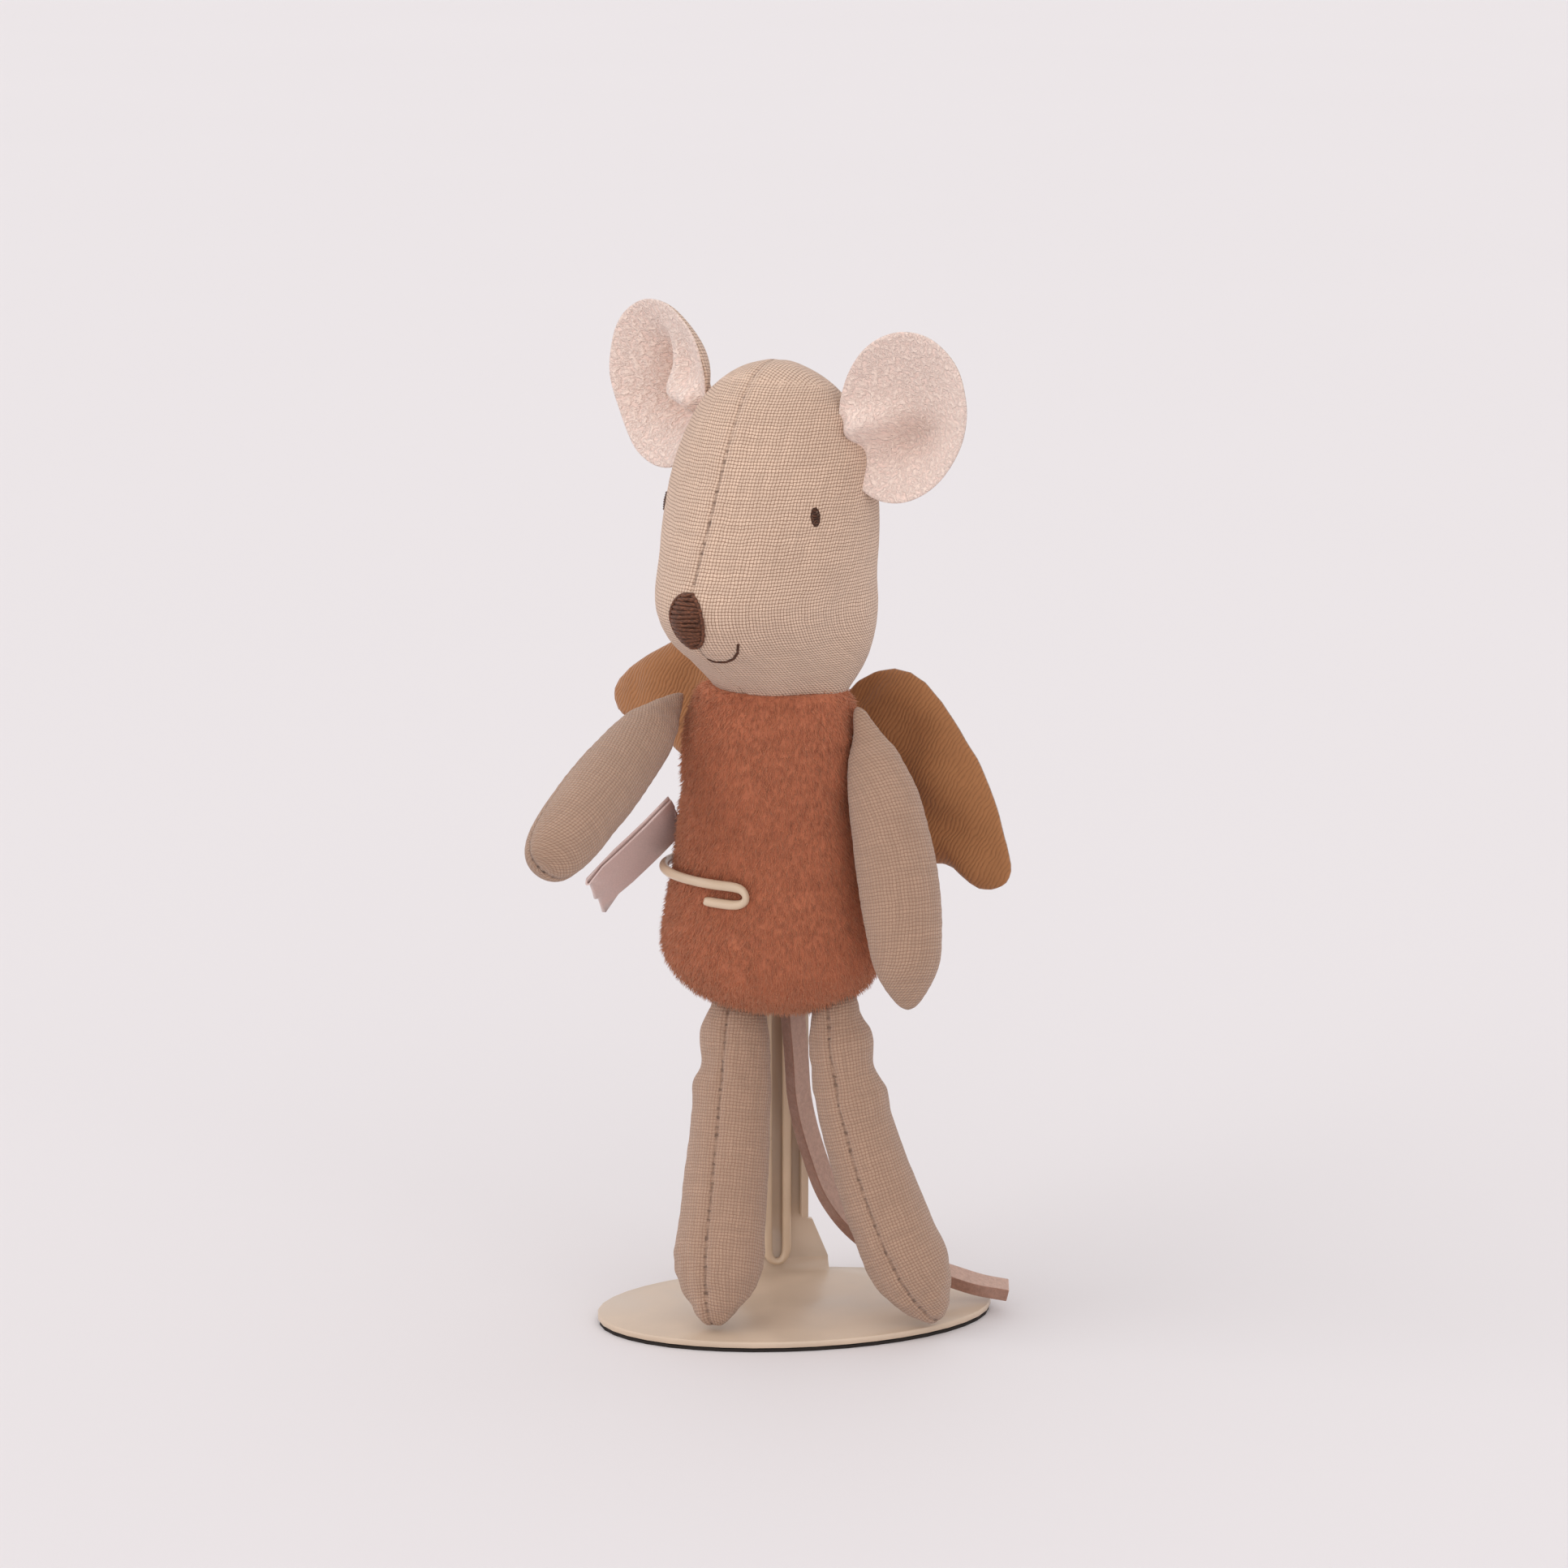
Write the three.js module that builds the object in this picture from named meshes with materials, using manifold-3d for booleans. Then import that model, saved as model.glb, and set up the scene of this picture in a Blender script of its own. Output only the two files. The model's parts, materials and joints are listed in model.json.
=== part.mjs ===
// A stuffed linen mouse with cloth wings, held at the waist by a wire clip on a sheet-metal stand.
// Millimetres, Z up. The mouse faces -Y and its left is +X. The origin is the centre of the
// base's underside. The stand is turned about Z, because the mouse is twisted in its clip.
import * as THREE from 'three';
import { mergeVertices } from 'three/addons/utils/BufferGeometryUtils.js';
import Module from 'manifold-3d';

const wasm = await Module();
wasm.setup();

const DEGREE = Math.PI / 180;
const GAP = 0.3; // between two pieces that touch in the real object
const PAD_GAP = 0.1; // the glue line under the base plate

// Stand
const STAND_TURN = 32 * DEGREE;
const BASE_LENGTH = 44;
const BASE_DEPTH = 26;
const PAD_THICKNESS = 0.35;
const SHEET = 0.75;
const FOOT_WIDTH = 12;
const FOOT_HEIGHT = 5.2;
const FOOT_STEP = 0.8; // how far the foot stands out from the strip where it begins
const STRIP_WIDTH = 6.8;
const STRIP_TOP = 43;
const FLANGE_DEPTH = 2.2;
const FOLD_RADIUS = 1.4;

// Wire clip
const WIRE = 1.15;
const HAIRPIN_SPACING = 2.2;
const HAIRPIN_BOTTOM = 1;
const CLIP_HEIGHT = 50.4;
const PLUSH_SQUASH = 0.15; // extra room between wire and plush, where the pile gives way
const HOOK_DROP = 2;
const HOOK_RETURN = 20 * DEGREE;

// Mouse
const MOUSE_X = -2.5;
const BODY_BOTTOM = 34.8;
const NECK_HEIGHT = 70.8;
const BODY_WIDTH = 1; // scales every half width of the body
const HEAD_HEIGHT = 35.3; // above the neck
const HEAD_TURN = -10 * DEGREE;
const PLUSH = 1.1;
const LINEN = 0.5;
const SHOULDER_HEIGHT = 69.4;
const SHOULDER_X = 10 * BODY_WIDTH;
const ARM_WIDTH = 8.8;
const ARM_THICKNESS = 7.8;
const HIP_HEIGHT = 34.6;
const HIP_X = 5.5 * BODY_WIDTH;
const HIP_SHIFT = 1.6; // the seat is pushed to the mouse's left
const LEG_WIDTH = 9.2;
const EAR_HEIGHT = 18.4;
const EAR_WIDTH = 14.6;
const EAR_DEPTH = 2.6;
const EAR_CLOTH = 0.5;
const NOSE_HEIGHT = 9.4; // on a head of the usual height, as are the next four
const EYE_HEIGHT = 20;
const MOUTH_HEIGHT = 7.8;
const RIGHT_EAR = { x: -15.4, height: 31.8, lean: -14 * DEGREE, turn: -24 * DEGREE };
const LEFT_EAR = { x: 16.6, height: 30.2, lean: 14 * DEGREE, turn: 6 * DEGREE };
const THREAD = 0.5; // thickness of the embroidery
const WING_SCALE = 1;
const WING_ROOT_HEIGHT = 62.8;
const WING_ROOT_X = 2;
const WING_PLANE = 9.9;
const WING_CLOTH = 0.5;
const RIGHT_WING_LIFT = 39 * DEGREE;
const RIGHT_WING_SWEEP = 14 * DEGREE;
const TAIL_WIDTH = 2.4;
const TAIL_THICKNESS = 1.5;
const LABEL_WIDTH = 6.5;
const LABEL_LENGTH = 11.8;
const RIBBON = 0.2;

const PLATE_BOTTOM = PAD_THICKNESS + PAD_GAP;
const PLATE_TOP = PLATE_BOTTOM + SHEET;
const HIP_HALF_WIDTH = 14.4; // of the body at its widest, before BODY_WIDTH
const WIDENING = HIP_HALF_WIDTH * (BODY_WIDTH - 1);
const DOWN = new THREE.Vector3(0, 0, -1);
const UP = new THREE.Vector3(0, 0, 1);
const FORWARD = new THREE.Vector3(0, -1, 0);

// Solids

// Makes a solid that can be joined and cut from a closed geometry.
function solidOf(geometry) {
  const plain = geometry.clone();
  plain.deleteAttribute('normal');
  plain.deleteAttribute('uv');
  const merged = mergeVertices(plain, 1e-4);
  const corners = merged.index.array;
  const kept = [];
  for (let i = 0; i < corners.length; i += 3) {
    const [a, b, c] = corners.slice(i, i + 3);
    if (a !== b && b !== c && c !== a) kept.push(a, b, c);
  }
  return new wasm.Manifold(new wasm.Mesh({
    numProp: 3,
    vertProperties: new Float32Array(merged.attributes.position.array),
    triVerts: new Uint32Array(kept),
  }));
}

// Turns a solid back into a geometry.
function geometryOf(solid) {
  const mesh = solid.getMesh();
  const geometry = new THREE.BufferGeometry();
  geometry.setAttribute('position', new THREE.BufferAttribute(mesh.vertProperties, 3));
  geometry.setIndex(new THREE.BufferAttribute(mesh.triVerts, 1));
  geometry.computeVertexNormals();
  return geometry;
}

// A named mesh with its own material.
function piece(name, shape, colour, roughness, metalness = 0) {
  const geometry = shape.isBufferGeometry ? shape : geometryOf(shape);
  const material = new THREE.MeshStandardMaterial({ color: colour, roughness, metalness });
  const mesh = new THREE.Mesh(geometry, material);
  mesh.name = name;
  return mesh;
}

// A rounded, stuffed form along a curve. Each row is [height or distance along the curve,
// half width, reach to the front, reach to the back].
function padded(curve, rows, facing, roundness, around = 24, rings = 14, point = 1) {
  const reachAt = new THREE.CubicInterpolant(
    rows.map((row) => row[0]),
    rows.flatMap((row) => row.slice(1)),
    3,
  );
  const first = rows[0][0];
  const span = rows[rows.length - 1][0] - first;
  const geometry = new THREE.SphereGeometry(1, around, rings);
  geometry.rotateX(Math.PI / 2);
  const position = geometry.attributes.position;
  const unit = new THREE.Vector3();
  for (let i = 0; i < position.count; i += 1) {
    unit.fromBufferAttribute(position, i);
    const rise = THREE.MathUtils.clamp(unit.z, -1, 1);
    const closing = (1 - Math.abs(rise) ** roundness) ** (1 / roundness);
    const radius = Math.hypot(unit.x, unit.y) || 1;
    const across = unit.x / radius;
    const ahead = -unit.y / radius;
    const share = (rise + 1) / 2;
    const [width, front, back] = reachAt.evaluate(first + span * share);
    const reach = ahead > 0 ? front * ahead ** point : back * ahead;
    const tangent = curve.getTangentAt(share);
    const forward = facing.clone().addScaledVector(tangent, -facing.dot(tangent)).normalize();
    const side = new THREE.Vector3().crossVectors(tangent, forward);
    const place = curve.getPointAt(share);
    place.addScaledVector(side, width * closing * across);
    place.addScaledVector(forward, reach * closing);
    position.setXYZ(i, place.x, place.y, place.z);
  }
  return geometry;
}

// The same form with its surface moved inwards by a depth, or outwards if it is negative.
function inset(geometry, depth) {
  const plain = geometry.clone();
  plain.deleteAttribute('normal');
  plain.deleteAttribute('uv');
  const skin = mergeVertices(plain, 1e-4);
  skin.computeVertexNormals();
  const { position, normal } = skin.attributes;
  for (let i = 0; i < position.count; i += 1) {
    position.setXYZ(
      i,
      position.getX(i) - normal.getX(i) * depth,
      position.getY(i) - normal.getY(i) * depth,
      position.getZ(i) - normal.getZ(i) * depth,
    );
  }
  return skin;
}

// A block that starts at a point and fills everything beyond it in a direction.
function blockBeyond(point, direction, size = 60) {
  const block = new THREE.BoxGeometry(size, size, size);
  block.translate(0, 0, size / 2);
  block.applyQuaternion(new THREE.Quaternion().setFromUnitVectors(UP, direction));
  block.translate(point.x, point.y, point.z);
  return solidOf(block);
}

// A round or flat bar along a curve.
function bar(curve, section, steps) {
  return new THREE.ExtrudeGeometry(section, { steps, extrudePath: curve, curveSegments: 3 });
}

function ellipseShape(halfX, halfY) {
  return new THREE.Shape().absellipse(0, 0, halfX, halfY, 0, 2 * Math.PI);
}

// Stand

function basePad() {
  const outline = ellipseShape(BASE_LENGTH / 2 - 0.2, BASE_DEPTH / 2 - 0.2);
  return new THREE.ExtrudeGeometry(outline, {
    depth: PAD_THICKNESS,
    bevelEnabled: false,
    curveSegments: 20,
  });
}

// The plate's rim is slightly rounded on its top edge.
function basePlate() {
  const round = 0.2;
  const outline = ellipseShape(BASE_LENGTH / 2 - round, BASE_DEPTH / 2 - round);
  const plate = new THREE.ExtrudeGeometry(outline, {
    depth: SHEET - 2 * round,
    bevelSize: round,
    bevelThickness: round,
    bevelSegments: 2,
    curveSegments: 20,
  });
  plate.translate(0, 0, PLATE_BOTTOM + round);
  return solidOf(plate);
}

// The bend from plate to upright: the sheet's section, pulled across the foot's width.
function footBend() {
  const back = BASE_DEPTH / 2;
  const outer = FOLD_RADIUS + SHEET;
  const section = new THREE.Shape();
  section.moveTo(back - outer - 4, PLATE_BOTTOM);
  section.lineTo(back - outer, PLATE_BOTTOM);
  section.absarc(back - outer, PLATE_BOTTOM + outer, outer, -Math.PI / 2, 0, false);
  section.lineTo(back - SHEET, PLATE_BOTTOM + outer);
  section.absarc(back - outer, PLATE_BOTTOM + outer, FOLD_RADIUS, 0, -Math.PI / 2, true);
  section.lineTo(back - outer - 4, PLATE_TOP);
  const bend = new THREE.ExtrudeGeometry(section, {
    depth: FOOT_WIDTH,
    bevelEnabled: false,
    curveSegments: 6,
  });
  bend.translate(0, 0, -FOOT_WIDTH / 2);
  bend.applyMatrix4(new THREE.Matrix4().makeBasis(FORWARD.clone().negate(), UP, new THREE.Vector3(1, 0, 0)));
  return solidOf(bend);
}

// The flared foot and the web of the strip, as one flat outline.
function uprightWeb() {
  const low = PLATE_BOTTOM + FOLD_RADIUS + SHEET - 0.01;
  const flare = low + FOOT_HEIGHT;
  const half = STRIP_WIDTH / 2;
  const outline = new THREE.Shape();
  outline.moveTo(-FOOT_WIDTH / 2, low);
  outline.lineTo(FOOT_WIDTH / 2, low);
  outline.lineTo(half + FOOT_STEP, flare - FOOT_STEP);
  outline.quadraticCurveTo(half, flare - FOOT_STEP, half, flare);
  outline.lineTo(half, STRIP_TOP - 1.5);
  outline.absarc(half - 1.5, STRIP_TOP - 1.5, 1.5, 0, Math.PI / 2, false);
  outline.absarc(1.5 - half, STRIP_TOP - 1.5, 1.5, Math.PI / 2, Math.PI, false);
  outline.lineTo(-half, flare);
  outline.quadraticCurveTo(-half, flare - FOOT_STEP, -half - FOOT_STEP, flare - FOOT_STEP);
  outline.closePath();
  const web = new THREE.ExtrudeGeometry(outline, {
    depth: SHEET,
    bevelEnabled: false,
    curveSegments: 6,
  });
  web.rotateX(Math.PI / 2);
  web.translate(0, BASE_DEPTH / 2, 0);
  return solidOf(web);
}

// One folded edge of the strip.
function flange(side) {
  const low = PLATE_BOTTOM + FOLD_RADIUS + SHEET + FOOT_HEIGHT;
  const height = STRIP_TOP - 2.5 - low;
  const edge = new THREE.BoxGeometry(SHEET, FLANGE_DEPTH, height);
  edge.translate(
    side * (STRIP_WIDTH / 2 - SHEET / 2),
    BASE_DEPTH / 2 - SHEET / 2 - FLANGE_DEPTH / 2,
    low + height / 2,
  );
  return solidOf(edge);
}

function standPlate() {
  return basePlate().add(footBend()).add(uprightWeb()).add(flange(-1)).add(flange(1));
}

// Mouse body

// Rows of the body from its seat up past the neck, where it is cut flat.
const BODY_ROWS = [
  [BODY_BOTTOM, 14.2, 10.6, 8.6],
  [40.8, HIP_HALF_WIDTH, 11, 8.9],
  [44.8, 13, 10, 8.4],
  [CLIP_HEIGHT, 11.5, 8.8, 8],
  [58.8, 10.6, 8.2, 7.6],
  [66.8, 10, 7.6, 7],
  [NECK_HEIGHT, 9, 7, 6.6],
  [80.8, 8, 6, 6],
].map(([height, width, front, back]) => [height, width * BODY_WIDTH, front, back]);
const BODY_ROUNDNESS = 3.2;

// A vertical form on the mouse's axis.
function upright(rows, roundness, around, rings, point) {
  const axis = new THREE.LineCurve3(
    new THREE.Vector3(0, 0, rows[0][0]),
    new THREE.Vector3(0, 0, rows[rows.length - 1][0]),
  );
  return padded(axis, rows, FORWARD, roundness, around, rings, point);
}

const bodyForm = upright(BODY_ROWS, BODY_ROUNDNESS, 28, 14);
const neckCut = blockBeyond(new THREE.Vector3(0, 0, NECK_HEIGHT), UP);

// Front and back panels meet at the side seams.
function bodyPanel(direction) {
  const shell = solidOf(bodyForm).subtract(solidOf(inset(bodyForm, PLUSH)));
  const seam = blockBeyond(new THREE.Vector3(0, direction * GAP / 2, 0), new THREE.Vector3(0, direction, 0), 200);
  return shell.subtract(neckCut).intersect(seam);
}

function bodyStuffing() {
  const neck = blockBeyond(new THREE.Vector3(0, 0, NECK_HEIGHT), UP);
  return solidOf(inset(bodyForm, PLUSH + GAP)).subtract(neck);
}

// Half width and reach of the body at the clip's height.
function waist() {
  const box = new THREE.Box3();
  const point = new THREE.Vector3();
  const { position } = bodyForm.attributes;
  for (let i = 0; i < position.count; i += 1) {
    point.fromBufferAttribute(position, i);
    if (Math.abs(point.z - CLIP_HEIGHT) < 3) box.expandByPoint(point);
  }
  return { side: box.max.x, front: -box.min.y, back: box.max.y };
}

// Wire clip

// A point of the channel in the mouse's own frame.
function channelPoint(across, depth, height) {
  const point = new THREE.Vector3(across, depth, height);
  point.applyAxisAngle(UP, STAND_TURN);
  point.x -= MOUSE_X;
  return point;
}

// One waist arm: round the body at a constant distance, then a hook that turns back below it.
function waistArm(startAngle, endAngle) {
  const size = waist();
  const clear = GAP + PLUSH_SQUASH + WIRE / 2;
  const points = [];
  const place = (angle, height) => {
    const reach = Math.sin(angle) > 0 ? size.back : size.front;
    points.push(new THREE.Vector3(
      (size.side + clear) * Math.cos(angle),
      (reach + clear) * Math.sin(angle),
      height,
    ));
  };
  const turns = 12;
  const way = Math.sign(endAngle - startAngle);
  for (let i = 0; i <= turns; i += 1) {
    place(startAngle + (endAngle - startAngle) * i / turns, CLIP_HEIGHT);
  }
  for (let i = 1; i < 6; i += 1) {
    const round = Math.PI * i / 6;
    const beyond = Math.sin(round) * HOOK_DROP / 2 / (size.front + clear);
    place(endAngle + way * beyond, CLIP_HEIGHT - HOOK_DROP / 2 * (1 - Math.cos(round)));
  }
  place(endAngle, CLIP_HEIGHT - HOOK_DROP);
  place(endAngle - way * HOOK_RETURN, CLIP_HEIGHT - HOOK_DROP);
  return points;
}

// The whole wire: hook, waist arm, hairpin down the channel and up again, waist arm, hook.
function clipRoute() {
  const depth = BASE_DEPTH / 2 - SHEET - GAP - WIRE / 2;
  const half = HAIRPIN_SPACING / 2;
  const low = PLATE_TOP + HAIRPIN_BOTTOM + half;
  const right = waistArm(128 * DEGREE, 269 * DEGREE).reverse();
  const left = waistArm(84 * DEGREE, -8 * DEGREE);
  const hairpin = [];
  for (const height of [CLIP_HEIGHT - 3.5, 42, 36, 22, 10, low + 1]) {
    hairpin.push(channelPoint(-half, depth, height));
  }
  for (let i = 0; i <= 6; i += 1) {
    const round = Math.PI + Math.PI * i / 6;
    hairpin.push(channelPoint(half * Math.cos(round), depth, low + half * Math.sin(round)));
  }
  for (const height of [low + 1, 10, 22, 36, 42, CLIP_HEIGHT - 3.5]) {
    hairpin.push(channelPoint(half, depth, height));
  }
  return new THREE.CatmullRomCurve3([...right, ...hairpin, ...left], false, 'centripetal');
}

function wireClip() {
  return bar(clipRoute(), ellipseShape(WIRE / 2, WIRE / 2), 110);
}

// Head

// The height of something on the head, from its height above the neck on the usual head.
function onHead(above) {
  return NECK_HEIGHT + above * HEAD_HEIGHT / 35.3;
}

// Rows of the head from inside the neck up to the crown.
const HEAD_ROWS = [
  [-6, 9.5, 8, 9],
  [0, 10, 8.6, 9.2],
  [3, 10.6, 12, 9.3],
  [6, 11.1, 15.2, 9.4],
  [9.5, 11.5, 16.4, 9.5],
  [14.5, 11.8, 14.2, 9.5],
  [21, 12.3, 11.6, 10.1],
  [27, 13, 10.4, 11.2],
  [35.3, 14, 11, 12.5],
].map(([above, width, front, back]) => [onHead(above), width, front, back]);
const HEAD_CUT = NECK_HEIGHT + GAP;
const MUZZLE_POINT = 1.25;

const headForm = upright(HEAD_ROWS, 2, 30, 18, MUZZLE_POINT);
const headBelow = blockBeyond(new THREE.Vector3(0, 0, HEAD_CUT), DOWN);

// One side panel. The two meet in the seam over the forehead and under the chin.
function headPanel(side) {
  const shell = solidOf(headForm).subtract(solidOf(inset(headForm, LINEN)));
  const seam = blockBeyond(new THREE.Vector3(side * GAP / 2, 0, 0), new THREE.Vector3(side, 0, 0), 240);
  return shell.subtract(headBelow).intersect(seam);
}

function headStuffing() {
  return solidOf(inset(headForm, LINEN + GAP)).subtract(headBelow);
}

// A patch of thread that lies on the head where a beam passes through its skin.
function stitches(beam) {
  const outer = solidOf(inset(headForm, -GAP - THREAD));
  const inner = solidOf(inset(headForm, -GAP));
  return outer.subtract(inner).intersect(beam);
}

// A straight beam of some outline from the head's axis outwards in a direction.
function beamOf(outline, height, turn, length = 24, start = 0) {
  const beam = new THREE.ExtrudeGeometry(outline, { depth: length, bevelEnabled: false, curveSegments: 8 });
  beam.rotateX(Math.PI / 2);
  beam.translate(0, -start, height);
  beam.rotateZ(turn);
  return solidOf(beam);
}

function nose() {
  return stitches(beamOf(ellipseShape(2.5, 3.05), onHead(NOSE_HEIGHT), 0, 16, 8));
}

function eye(side) {
  return stitches(beamOf(ellipseShape(0.62, 1.05), onHead(EYE_HEIGHT), side * 50 * DEGREE, 16, 4));
}

function mouth() {
  const smile = new THREE.Shape();
  smile.absarc(1.2, 0, 3.4, 245 * DEGREE, 345 * DEGREE, false);
  smile.absarc(1.2, 0, 2.9, 345 * DEGREE, 245 * DEGREE, true);
  return stitches(beamOf(smile, onHead(MOUTH_HEIGHT), 0, 16, 6));
}

// Ears

// A cupped oval of cloth, hollow side forwards, in a frame centred on its bottom.
function cuppedOval(cloth, forward) {
  const profile = [];
  const steps = 5;
  const radius = EAR_HEIGHT / 2;
  const bowl = (share) => EAR_DEPTH * (1 - share * share);
  for (let i = 0; i <= steps; i += 1) {
    profile.push(new THREE.Vector2(radius * i / steps, -bowl(i / steps) + forward));
  }
  for (let i = steps; i >= 0; i -= 1) {
    profile.push(new THREE.Vector2(radius * i / steps, -bowl(i / steps) + forward + cloth));
  }
  const oval = new THREE.LatheGeometry(profile, 24);
  oval.scale(EAR_WIDTH / EAR_HEIGHT, 1, 1);
  return oval.applyMatrix4(
    new THREE.Matrix4().makeBasis(new THREE.Vector3(1, 0, 0), FORWARD, DOWN),
  );
}

// One layer of an ear, cut to the head's surface with a gap. Layer 0 is the pink front.
function earLayer(side, layer) {
  const { x, height, lean, turn } = side < 0 ? RIGHT_EAR : LEFT_EAR;
  const oval = cuppedOval(EAR_CLOTH, -layer * (EAR_CLOTH + GAP));
  oval.rotateY(lean);
  oval.rotateZ(turn);
  oval.translate(x, 0, onHead(height));
  return solidOf(oval).subtract(solidOf(inset(headForm, -GAP)));
}

// Arms and legs

// A cover sewn on at its first end, where it is open, and the stuffing, which starts further in.
function limb(curve, rows, facing, roundness, openAt, filledFrom) {
  const form = padded(curve, rows, facing, roundness, 16, 12);
  const beyond = (share) => blockBeyond(curve.getPointAt(share), curve.getTangentAt(share).negate(), 40);
  return {
    cover: solidOf(form).subtract(solidOf(inset(form, LINEN))).subtract(beyond(openAt)),
    stuffing: solidOf(inset(form, LINEN + GAP)).subtract(beyond(filledFrom)),
  };
}

function pointAt(x, y, z) {
  return new THREE.Vector3(x, y, z);
}

// Arms narrow to a point at the shoulder and are widest near the paw.
const ARM_ROWS = [
  [0, 1.1, 1.1],
  [0.2, 3, 2.7],
  [0.45, 4, 3.6],
  [0.75, ARM_WIDTH / 2, ARM_THICKNESS / 2],
  [1, ARM_WIDTH / 2, ARM_THICKNESS / 2],
].map(([share, width, depth]) => [share, width, depth, depth]);

// The left arm hangs just outside the wire, and the right one is raised to the front.
function arm(side) {
  const curve = side > 0
    ? new THREE.QuadraticBezierCurve3(
      pointAt(SHOULDER_X, -1, SHOULDER_HEIGHT),
      pointAt(15.85 + WIRE + WIDENING, -4.4, 54.8),
      pointAt(17.05 + WIRE + WIDENING, -6.7, 38),
    )
    : new THREE.QuadraticBezierCurve3(
      pointAt(-SHOULDER_X, -1.6, SHOULDER_HEIGHT),
      pointAt(-12.4 - WIDENING, -14, 63.6),
      pointAt(-13.8 - WIDENING, -30.4, 55.6),
    );
  return limb(curve, ARM_ROWS, side > 0 ? FORWARD : UP, 2.5, 0.06, 0.16);
}

// Legs are a little narrower at the soft hip and full at the foot.
const LEG_ROWS = [
  [0, LEG_WIDTH * 0.42, 3.4],
  [0.3, LEG_WIDTH * 0.43, 3.6],
  [0.7, LEG_WIDTH * 0.49, 4.2],
  [1, LEG_WIDTH * 0.52, 4.4],
].map(([share, width, depth]) => [share, width, depth, depth]);

function leg(side) {
  const hip = pointAt(side * HIP_X + HIP_SHIFT, -0.5, HIP_HEIGHT);
  const curve = side > 0
    ? new THREE.QuadraticBezierCurve3(hip, pointAt(9.6, -1.6, 19), pointAt(20.8, -2.2, PLATE_TOP + 0.9))
    : new THREE.QuadraticBezierCurve3(hip, pointAt(-4.2, -4, 19), pointAt(-2.9, -12.8, PLATE_TOP + 0.9));
  return limb(curve, LEG_ROWS, FORWARD, 3, 0.02, 0.06);
}

// Wings

// The outline of a wing from its root, with a straight shoulder and a scalloped lower lobe.
function wingOutline() {
  const outline = new THREE.Shape();
  outline.moveTo(0, 2.5);
  outline.splineThru([
    new THREE.Vector2(4, 7.2),
    new THREE.Vector2(8.5, 8.6),
    new THREE.Vector2(12.5, 6.6),
    new THREE.Vector2(16.8, 0.4),
    new THREE.Vector2(19.8, -6.2),
    new THREE.Vector2(21.6, -12.6),
    new THREE.Vector2(20.4, -14.8),
    new THREE.Vector2(17.6, -15),
    new THREE.Vector2(14.8, -12.8),
    new THREE.Vector2(11.5, -12.9),
    new THREE.Vector2(6.5, -11.6),
    new THREE.Vector2(2, -7),
    new THREE.Vector2(0, -2.5),
  ]);
  outline.closePath();
  return outline;
}

// One layer of a wing. Layer 0 is the twill front and layer 1 the patterned back.
function wingLayer(side, layer) {
  const plate = new THREE.ExtrudeGeometry(wingOutline(), {
    depth: WING_CLOTH,
    bevelEnabled: false,
    curveSegments: 2,
  });
  plate.scale(WING_SCALE, WING_SCALE, 1);
  plate.rotateX(Math.PI / 2);
  plate.translate(0, WING_CLOTH, 0);
  if (side < 0) {
    plate.rotateZ(Math.PI);
    plate.translate(0, WING_CLOTH, 0);
    plate.rotateY(RIGHT_WING_LIFT);
    plate.rotateZ(-RIGHT_WING_SWEEP);
  }
  plate.translate(side * WING_ROOT_X, WING_PLANE + layer * (WING_CLOTH + GAP), WING_ROOT_HEIGHT);
  return plate;
}

// Tail and label

// The tail hangs behind the legs and lies out over the base's rim.
const TAIL_POINTS = [
  [0.9, 3.2, 34], [1.5, 2.9, 28.8], [1.6, 3.6, 23.8], [2.9, 4.4, 17.5],
  [4.9, 4.9, 12.3], [6.9, 5.3, 9.6], [9.2, 5.8, 7.6], [13, 6.5, 5.6],
  [18, 7.6, 4], [21.2, 8.6, 3], [24, 9.8, 2.4],
];

function tail() {
  const curve = new THREE.CatmullRomCurve3(TAIL_POINTS.map((p) => pointAt(...p)));
  const strip = new THREE.Shape();
  strip.moveTo(-TAIL_THICKNESS / 2, -TAIL_WIDTH / 2);
  strip.lineTo(TAIL_THICKNESS / 2, -TAIL_WIDTH / 2);
  strip.lineTo(TAIL_THICKNESS / 2, TAIL_WIDTH / 2);
  strip.lineTo(-TAIL_THICKNESS / 2, TAIL_WIDTH / 2);
  strip.closePath();
  return bar(curve, strip, 26);
}

// A folded ribbon: two layers joined at the outer end, their raw edges at the body's side seam.
function careLabel() {
  const between = GAP / 2;
  const outer = between + RIBBON;
  const section = new THREE.Shape();
  section.moveTo(0, between);
  section.lineTo(0, outer);
  section.lineTo(LABEL_LENGTH - outer, outer);
  section.absarc(LABEL_LENGTH - outer, 0, outer, Math.PI / 2, -Math.PI / 2, true);
  section.lineTo(0, -outer);
  section.lineTo(0, -between);
  section.lineTo(LABEL_LENGTH - outer, -between);
  section.absarc(LABEL_LENGTH - outer, 0, between, -Math.PI / 2, Math.PI / 2, false);
  section.closePath();
  const label = new THREE.ExtrudeGeometry(section, {
    depth: LABEL_WIDTH,
    bevelEnabled: false,
    curveSegments: 6,
  });
  label.translate(0, 0, -LABEL_WIDTH / 2);
  const along = pointAt(-0.6, -0.494, -0.616).normalize();
  const edge = pointAt(-0.08, 0.81, -0.57);
  edge.addScaledVector(along, -edge.dot(along)).normalize();
  const face = new THREE.Vector3().crossVectors(edge, along);
  label.applyMatrix4(new THREE.Matrix4().makeBasis(along, face, edge));
  label.translate(-11 * BODY_WIDTH, -0.9, CLIP_HEIGHT + 3.85 + WIRE);
  return solidOf(label).subtract(solidOf(inset(bodyForm, -GAP)));
}

// The whole object

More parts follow.
